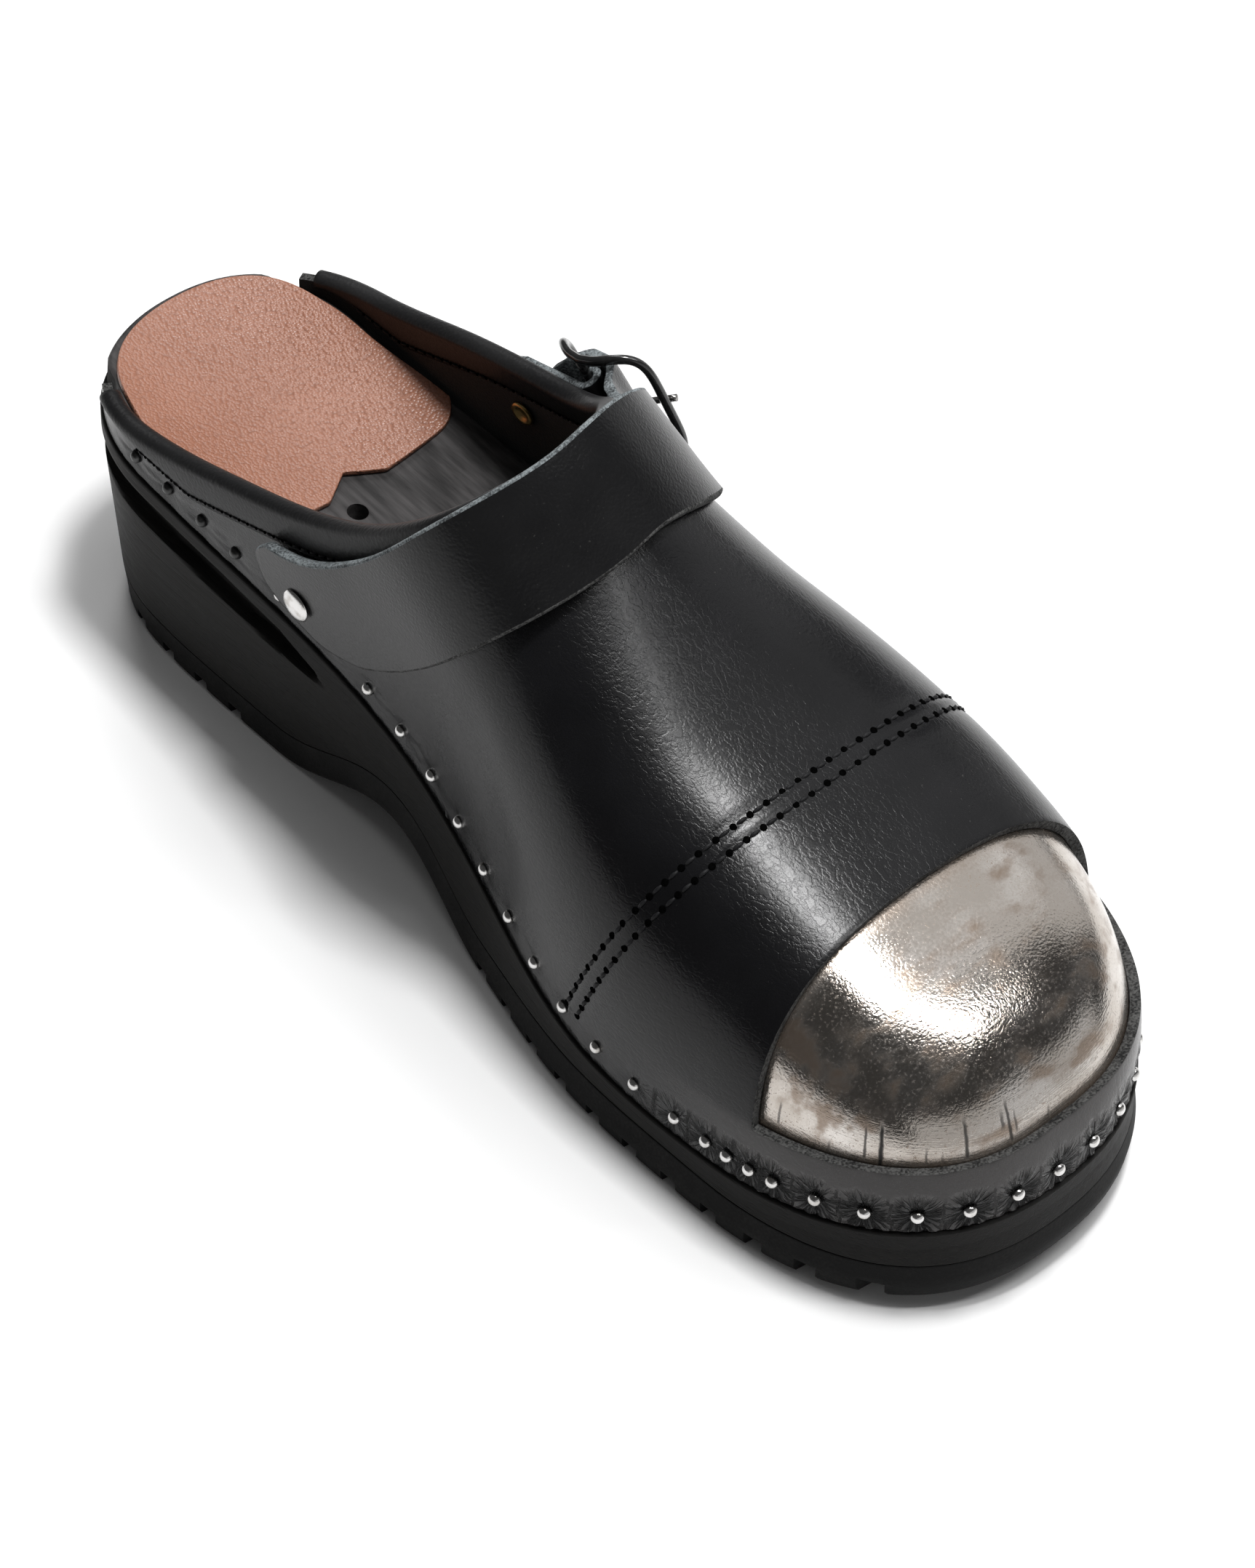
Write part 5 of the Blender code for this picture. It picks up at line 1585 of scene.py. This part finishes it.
@dataclass
class StrapLine:
    """Middle line of the strap laid on the last."""

    last: Last
    columns: tuple[str, ...] = ("across", "from_toe", "height")
    path: tuple[Triple, ...] = (
        (-41.0, 214.0, 56.5),
        (-41.0, 203.0, 56.5),
        (-41.0, 187.0, 60.0),
        (-41.5, 165.6, 74.7),
        (-38.0, 147.7, 92.7),
        (-30.0, 137.5, 104.5),
        (-14.5, 135.0, 108.5),
        (0.0, 136.5, 110.0),
        (12.0, 138.5, 108.0),
        (23.0, 142.5, 103.5),
        (32.0, 149.5, 96.0),
        (38.0, 159.0, 87.0),
        (39.0, 169.0, 79.0),
        (38.0, 180.0, 73.0),
        (37.0, 193.0, 68.0),
        (36.0, 212.0, 62.5),
    )
    line: Array = field(init=False)
    normal: Array = field(init=False)
    along: Array = field(init=False)
    across: Array = field(init=False)
    run: Array = field(init=False)

    def __post_init__(self) -> None:
        """Lay the guide points on the last."""
        guide = np.array(self.path)
        run = run_of(guide)
        at = np.linspace(0, run[-1], 401)
        line = np.stack([Spline(run, guide[:, i])(at) for i in range(3)], -1)
        line[:, 1] -= self.last.length / 2
        self.line, self.normal = self.last.onto(line)
        self.along = unit(np.gradient(self.line, axis=0))
        self.across = unit(np.cross(self.normal, self.along))
        self.run = run_of(self.line)

    @property
    def length(self) -> float:
        """Length of the line."""
        return float(self.run[-1])

    @property
    def upper_side(self) -> float:
        """Sign of the way across that leads to the collar."""
        return float(np.sign(self.across[len(self.line) // 2, 1]))

    def at(self, table: Array, run: Any) -> Array:
        """A table's values at lengths along the line."""
        return np.stack([np.interp(run, self.run, table[:, i]) for i in range(3)], -1)

    def point(self, run: Array, across: Any, stand: Any) -> Array:
        """Points moved across the line and out from the last."""
        spot = self.at(self.line, run) + self.at(self.across, run) * np.reshape(across, (-1, 1))
        return self.last.onto(spot, stand)[0]

    def seat(self, shape: Array, run: float, stand: float) -> Array:
        """Set a shape made at the origin onto the line: X goes along, Y across and Z out."""
        base = self.point(np.array([run]), 0.0, stand)[0]
        ways = np.stack([self.at(table, [run])[0] for table in (self.along, self.across, self.normal)])
        return base + shape @ ways


@dataclass
class Fastening:
    """Strap, anchor strap, buckle and rivets."""

    last: Last
    upper: Upper
    line: StrapLine
    thick: float = 2.4
    width: float = 25.0
    lift: Triple = (2.3, 1.7, 0.7)      # upper edge, middle, lower edge
    climb: float = 1.2          # how far the strap moves up to the collar over the instep
    gape: float = 3.0           # how far its upper edge stands off there
    end_columns: tuple[str, ...] = ("across", "along")
    medial_end: tuple[tuple[float, float], ...] = (
        (-0.5, 36.0),
        (-0.42, 27.0),
        (-0.3, 21.5),
        (0.0, 12.0),
        (0.2, 9.8),
        (0.38, 10.5),
        (0.5, 15.0),
    )
    buckle_at: float = 0.865
    tail: float = 14.5
    hole_first: float = 5.0     # from the bar to the hole that the prong takes
    hole_step: float = 9.7
    hole_radius: float = 1.5
    anchor: Triple = (1.8, 22.0, 2.1)   # thickness, width, lift
    anchor_round: float = 8.0   # rounding of the anchor strap's end
    tail_round: float = 7.0     # rounding of the strap's free end
    bar: float = 1.25
    frame_reach: float = 11.5
    frame_half: float = 16.0
    frame_rise: tuple[float, float] = (7.8, 5.2)            # towards the instep, towards the heel
    even_steps: int = 14        # passes that even out the strap along its length
    prong: float = 1.0
    rivets_at: tuple[float, float] = (0.098, 0.949)
    rivet: Triple = (1.5, 3.8, 1.0)     # shank, head, rise
    # Rivets: shares of the head's radius and rise, then radius and depth of the ring inside
    rivet_dome: tuple[tuple[float, float], ...] = (
        (0.0, 1.0),
        (0.3, 0.97),
        (0.55, 0.87),
        (0.78, 0.66),
        (0.93, 0.36),
        (1.0, 0.08),
        (1.0, 0.0),
    )
    rivet_ring: tuple[tuple[float, float], ...] = (
        (2.9, 0.0),
        (3.1, 0.3),
        (2.9, 0.8),
        (1.9, 0.9),
        (1.5, 0.4),
        (0.0, 0.4),
    )

    @property
    def buckle_run(self) -> float:
        """Length along the strap's line at the buckle's bar."""
        return self.buckle_at * self.line.length

    @property
    def bar_height(self) -> float:
        """Middle of the bar above the last."""
        return self.anchor[2] + self.anchor[0] + GAP + self.bar

    def strap_lift(self, run: Array, across: Array) -> Array:
        """The strap's inner face above the last."""
        place = across / self.width * self.line.upper_side
        flat = np.interp(place, (-0.5, 0.0, 0.5), self.lift[::-1])
        t = run - self.buckle_run
        rise = smooth(t, -18.0, -9.0)
        base = flat * (1 - rise) + np.maximum(flat, self.anchor[2] + self.anchor[0] + GAP) * rise
        over = self.bar_height + self.bar + GAP + self.anchor[0] + 2 * GAP
        hump = smooth(t, -11.0, -3.0) * (1 - smooth(t, 3.0, 10.5))
        return base + (over - base) * hump

    def build_strap(self, palette: Palette) -> bpy.types.Object:
        """Make the strap with its raw edges and holes."""
        places, cuts = np.transpose(self.medial_end)
        places_across = np.concatenate([[0.0], np.linspace(0.016, 0.984, 31), [1.0]])
        u, v = np.meshgrid(np.linspace(0, 1, 230), places_across, indexing="ij")
        shape = u.shape
        u, v = u.ravel(), v.ravel()
        side = self.line.upper_side
        across = (v - 0.5) * self.width * side
        first = Spline(places, cuts)(v - 0.5)
        stop = self.buckle_run + self.tail - self.tail_round * np.abs(2 * v - 1) ** 4
        run = first + (stop - first) * u
        wave = 0.25 * np.sin(run / 17.0) * np.sin(across / 9.0)
        share = run / self.line.length
        instep = smooth(share, 0.2, 0.42) * (1 - smooth(share, 0.6, 0.78))
        slope = np.clip(0.5 + side * across / self.width, 0, 1)
        lift = self.strap_lift(run, across) + wave + self.gape * instep * slope
        across = across + side * self.climb * instep
        outer = self.line.point(run, across, lift + self.thick).reshape(*shape, 3)
        inner = self.line.point(run, across, lift).reshape(*shape, 3)
        loose = (run < self.buckle_run - 16.0).reshape(shape)[1:-1, :, None]
        for face in (outer, inner):
            for _ in range(self.even_steps):
                mean = (face[:-2] + 2 * face[1:-1] + face[2:]) / 4
                face[1:-1] = np.where(loose, mean, face[1:-1])
        skin = Skin()
        slab(skin, outer, inner, (0, 1, 1, 2))
        piece = skin.make("strap_leather", [palette.strap, palette.strap_edge, palette.window_edge])
        holes = np.array([self.buckle_run - self.hole_first - i * self.hole_step for i in (1, 2)])
        spots, ways = (self.line.at(table, holes) for table in (self.line.line, self.line.normal))
        carve(piece, rods(spots, ways, self.hole_radius, 40.0, 20))
        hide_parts("strap")
        return piece

    def build_anchor(self, palette: Palette) -> bpy.types.Object:
        """Make the short strap that holds the buckle's bar."""
        thick, width, lift = self.anchor
        far = self.line.length - 3.0
        radius = self.bar + GAP + thick / 2
        flat = [(run, lift + thick / 2) for run in np.linspace(far, self.buckle_run, 30)[:-1]]
        turns = np.radians(np.linspace(270, 50, 24))
        circle = radius * np.stack([np.cos(turns), np.sin(turns)], -1)
        fold = circle + np.array((self.buckle_run, self.bar_height))
        path = np.concatenate([flat, fold])
        u, v = np.meshgrid(np.arange(len(path)), np.linspace(0, 1, 19), indexing="ij")
        shape = u.shape
        u, v = u.ravel(), v.ravel()
        run = path[u, 0] - self.anchor_round * np.abs(2 * v - 1) ** 4 * np.clip(1 - u / 9, 0, 1)
        points = self.line.point(run, (v - 0.5) * width, path[u, 1]).reshape(*shape, 3)
        along, across = np.gradient(points, axis=0), np.gradient(points, axis=1)
        normal = unit(np.cross(along, across))
        skin = Skin()
        slab(skin, points - normal * thick / 2, points + normal * thick / 2, (0, 0, 1, 1))
        piece = skin.make("anchor_strap_leather", [palette.strap, palette.strap_edge])
        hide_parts("anchor_strap")
        return piece

    def build_buckle(self, palette: Palette) -> bpy.types.Object:
        """Make the domed frame with its bar."""
        turns = np.linspace(0, 2 * math.pi, 120, endpoint=False)
        power = 2 / 5
        t = self.frame_reach * np.sign(np.cos(turns)) * np.abs(np.cos(turns)) ** power
        w = self.frame_half * np.sign(np.sin(turns)) * np.abs(np.sin(turns)) ** power
        rise = np.where(t < 0, *self.frame_rise)
        loop = np.stack([t, w, rise * (t / self.frame_reach) ** 2], -1)
        at = np.linspace(0, run_of(loop)[-1], len(turns), endpoint=False)
        loop = along_line(np.concatenate([loop, loop[:1]]), at)
        out = self.line.at(self.line.normal, [self.buckle_run])[0]
        skin = Skin()
        tube(skin, self.line.seat(loop, self.buckle_run, self.bar_height), self.bar, 12, True, 0.8, out)
        reach = self.frame_half - 0.6
        rod = np.stack([np.zeros(9), np.linspace(-reach, reach, 9), np.zeros(9)], -1)
        tube(skin, self.line.seat(rod, self.buckle_run, self.bar_height), self.bar * 0.8, 10)
        piece = skin.make("buckle_frame_enamel", [palette.enamel], weld=FINE_WELD)
        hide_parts("buckle_frame")
        return piece

    def build_prong(self, palette: Palette) -> bpy.types.Object:
        """Make the prong, hooked round the bar and out over the frame."""
        radius = self.bar + GAP + self.prong
        turns = np.radians(np.linspace(-150, 80, 28))
        hook = np.stack([radius * np.cos(turns), np.zeros_like(turns), radius * np.sin(turns)], -1)
        tip = np.array((-self.frame_reach - 0.6, 0.0, self.frame_rise[0] + self.bar + self.prong + GAP))
        stem = hook[-1] + (tip - hook[-1]) * np.linspace(0, 1, 14)[1:, None]
        path = self.line.seat(np.concatenate([hook, stem]), self.buckle_run, self.bar_height)
        skin = Skin()
        tube(skin, path, self.prong * np.linspace(1.0, 0.8, len(path)), 10)
        piece = skin.make("buckle_prong_steel", [palette.prong], weld=FINE_WELD)
        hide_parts("buckle_prong")
        return piece

    def build_rivet(self, side: Side, palette: Palette) -> bpy.types.Object:
        """Make one rivet: a domed head outside and a flat ring inside."""
        shank, head, rise = self.rivet
        medial = side is Side.MEDIAL
        run = self.rivets_at[0 if medial else 1] * self.line.length
        if medial:
            outer = float(self.strap_lift(np.array(run), np.array(0.0))) + self.thick + 2 * GAP
        else:
            outer = self.anchor[2] + self.anchor[0] + 2 * GAP
        inner = -(self.upper.thick + GAP)
        profile = [(head * r, outer + rise * z) for r, z in self.rivet_dome]
        profile += [(shank, outer), (shank, inner)]
        profile += [(radius, inner - depth) for radius, depth in self.rivet_ring]
        skin = Skin()
        spot = self.line.at(self.line.line, [run])[0]
        turned(skin, profile, spot, self.line.at(self.line.normal, [run])[0], 32)
        name = "rivet_medial" if medial else "rivet_lateral"
        piece = skin.make(name + "_metal", [palette.nail if medial else palette.brass], weld=FINE_WELD)
        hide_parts(name)
        return piece


@dataclass
class Studio:
    """Floor, soft lights and the camera at the photograph's angle."""

    azimuth: float = -40.84
    elevation: float = 47.26
    distance: float = 896.38
    slide: tuple[float, float] = (56.7, 26.7)   # the photograph's frame is off the shoe by this much
    focal: float = 3715.91                      # in photograph pixels
    middle: tuple[float, float] = (1117.0, 1066.0)   # the shoe's middle in photograph pixels
    fill: float = 1.6                           # how much closer the one shoe is framed
    sensor: float = 36.0
    aim_height: float = 50.0                    # what the camera turns round and the lights look at
    floor_half: float = 3.0                     # in metres
    floor_tones: tuple[Colour, Colour] = ((0.95, 0.95, 0.95), (0.98, 0.98, 0.98))
    world: float = 0.06

    def axes(self) -> tuple[Array, Array, Array]:
        """The camera's right, up and backward ways."""
        a, e = math.radians(self.azimuth), math.radians(self.elevation)
        right = np.array((math.cos(a), math.sin(a), 0.0))
        back = np.array((math.sin(a) * math.cos(e), -math.cos(a) * math.cos(e), math.sin(e)))
        return right, np.cross(back, right), back

    def build_camera(self) -> None:
        """Stand the camera where the photograph was taken and aim it at the one shoe."""
        right, up, back = self.axes()
        spot = np.array((0.0, 0.0, self.aim_height)) + back * self.distance
        spot = spot - right * self.slide[0] - up * self.slide[1]
        across = (self.middle[0] - PHOTO_WIDTH / 2) / self.focal
        rise = (PHOTO_HEIGHT / 2 - self.middle[1]) / self.focal
        aim = unit(right * across + up * rise - back)
        data = bpy.data.cameras.new("camera")
        data.sensor_width = self.sensor
        data.lens = self.focal * self.fill / PHOTO_HEIGHT * self.sensor
        data.clip_start, data.clip_end = 0.05, 50.0
        made = placed("camera", data)
        side = unit(np.cross(aim, up))
        top = np.cross(side, aim)
        turn = Matrix((side, top, -aim)).transposed().to_4x4()
        made.matrix_world = Matrix.Translation(Vector((spot + SHIFT) * MM)) @ turn
        bpy.context.scene.camera = made

    def build_floor(self) -> None:
        """Lay the pale floor."""
        mesh = bmesh.new()
        bmesh.ops.create_grid(mesh, x_segments=8, y_segments=8, size=self.floor_half)
        floor = meshed("floor", mesh)
        paint = Paint("floor_white")
        tone = paint.mix(paint.noise(400.0, 2.0), *self.floor_tones)
        floor.data.materials.append(paint.shade({"Base Color": tone}, {"Roughness": 0.75}))

    def add_light(self, name: str, spot: Triple, size: tuple[float, float], power: float,
                  along: Triple = (1.0, 0.0, 0.0), mirrored: bool = True) -> None:
        """Add a soft light that looks at the shoe.

        Args:
            name: Its name.
            spot: Where it stands, in metres.
            size: Length and width.
            power: Watts.
            along: The way of its length.
            mirrored: Whether glossy faces mirror it.
        """
        data = bpy.data.lights.new(name, "AREA")
        data.shape = "RECTANGLE"
        data.size, data.size_y = size
        data.energy = power
        made = placed(name, data)
        back = (Vector(spot) - Vector((0.0, 0.0, self.aim_height * MM))).normalized()
        first = Vector(along) - back * back.dot(Vector(along))
        first.normalize()
        turn = Matrix((first, back.cross(first), back)).transposed().to_4x4()
        made.matrix_world = Matrix.Translation(Vector(spot)) @ turn
        made.visible_camera = False
        made.visible_glossy = mirrored

    def build_lights(self) -> None:
        """Light the shoe from above, the front, the lateral side and behind, in a dim world."""
        world = bpy.data.worlds.new("studio")
        world.use_nodes = True
        sky = world.node_tree.nodes["Background"].inputs
        sky["Color"].default_value = (1.0, 1.0, 1.0, 1.0)
        sky["Strength"].default_value = self.world
        bpy.context.scene.world = world
        bpy.context.scene.view_settings.view_transform = "Standard"
        self.add_light("box", (0.14, -0.06, 1.2), (0.2, 0.2), 10.0)
        self.add_light("strip", (0.24, -0.39, 1.04), (0.7, 0.05), 3.0, (0.79, -0.63, -0.35))
        self.add_light("panel", (0.85, 0.0, 1.15), (0.9, 0.9), 1.8)
        self.add_light("side", (1.1, -0.1, 0.42), (0.7, 0.5), 0.7)
        self.add_light("front", (0.1, -1.2, 0.3), (2.6, 0.56), 2.5)
        self.add_light("behind", (0.5, 0.85, 1.0), (0.4, 0.4), 5.0)
        self.add_light("ceiling", (0.1, 0.0, 1.5), (1.2, 1.2), 3.2, mirrored=False)


def main() -> None:
    """Build every sub-assembly in order."""
    logging.basicConfig(level=logging.INFO, format="%(name)s %(message)s")
    studio = Studio()
    studio.build_camera()
    studio.build_floor()
    studio.build_lights()
    palette = Palette()
    last = Last()
    nails = Nails(last)
    upper = Upper(last, nails)
    collar = Collar(last, upper)
    sole = Sole(last, upper)
    fastening = Fastening(last, upper, StrapLine(last))
    sole.build_wood(palette)
    sole.build_outsole(palette)
    sole.build_sock(palette)
    ToeCap(last, upper).build(palette)
    upper.build(palette)
    upper.build_seam(palette)
    nails.build(palette)
    collar.build(palette)
    collar.build_stitches(palette)
    fastening.build_strap(palette)
    fastening.build_anchor(palette)
    fastening.build_buckle(palette)
    fastening.build_prong(palette)
    for side in Side:
        fastening.build_rivet(side, palette)


if __name__ == "__main__":
    main()
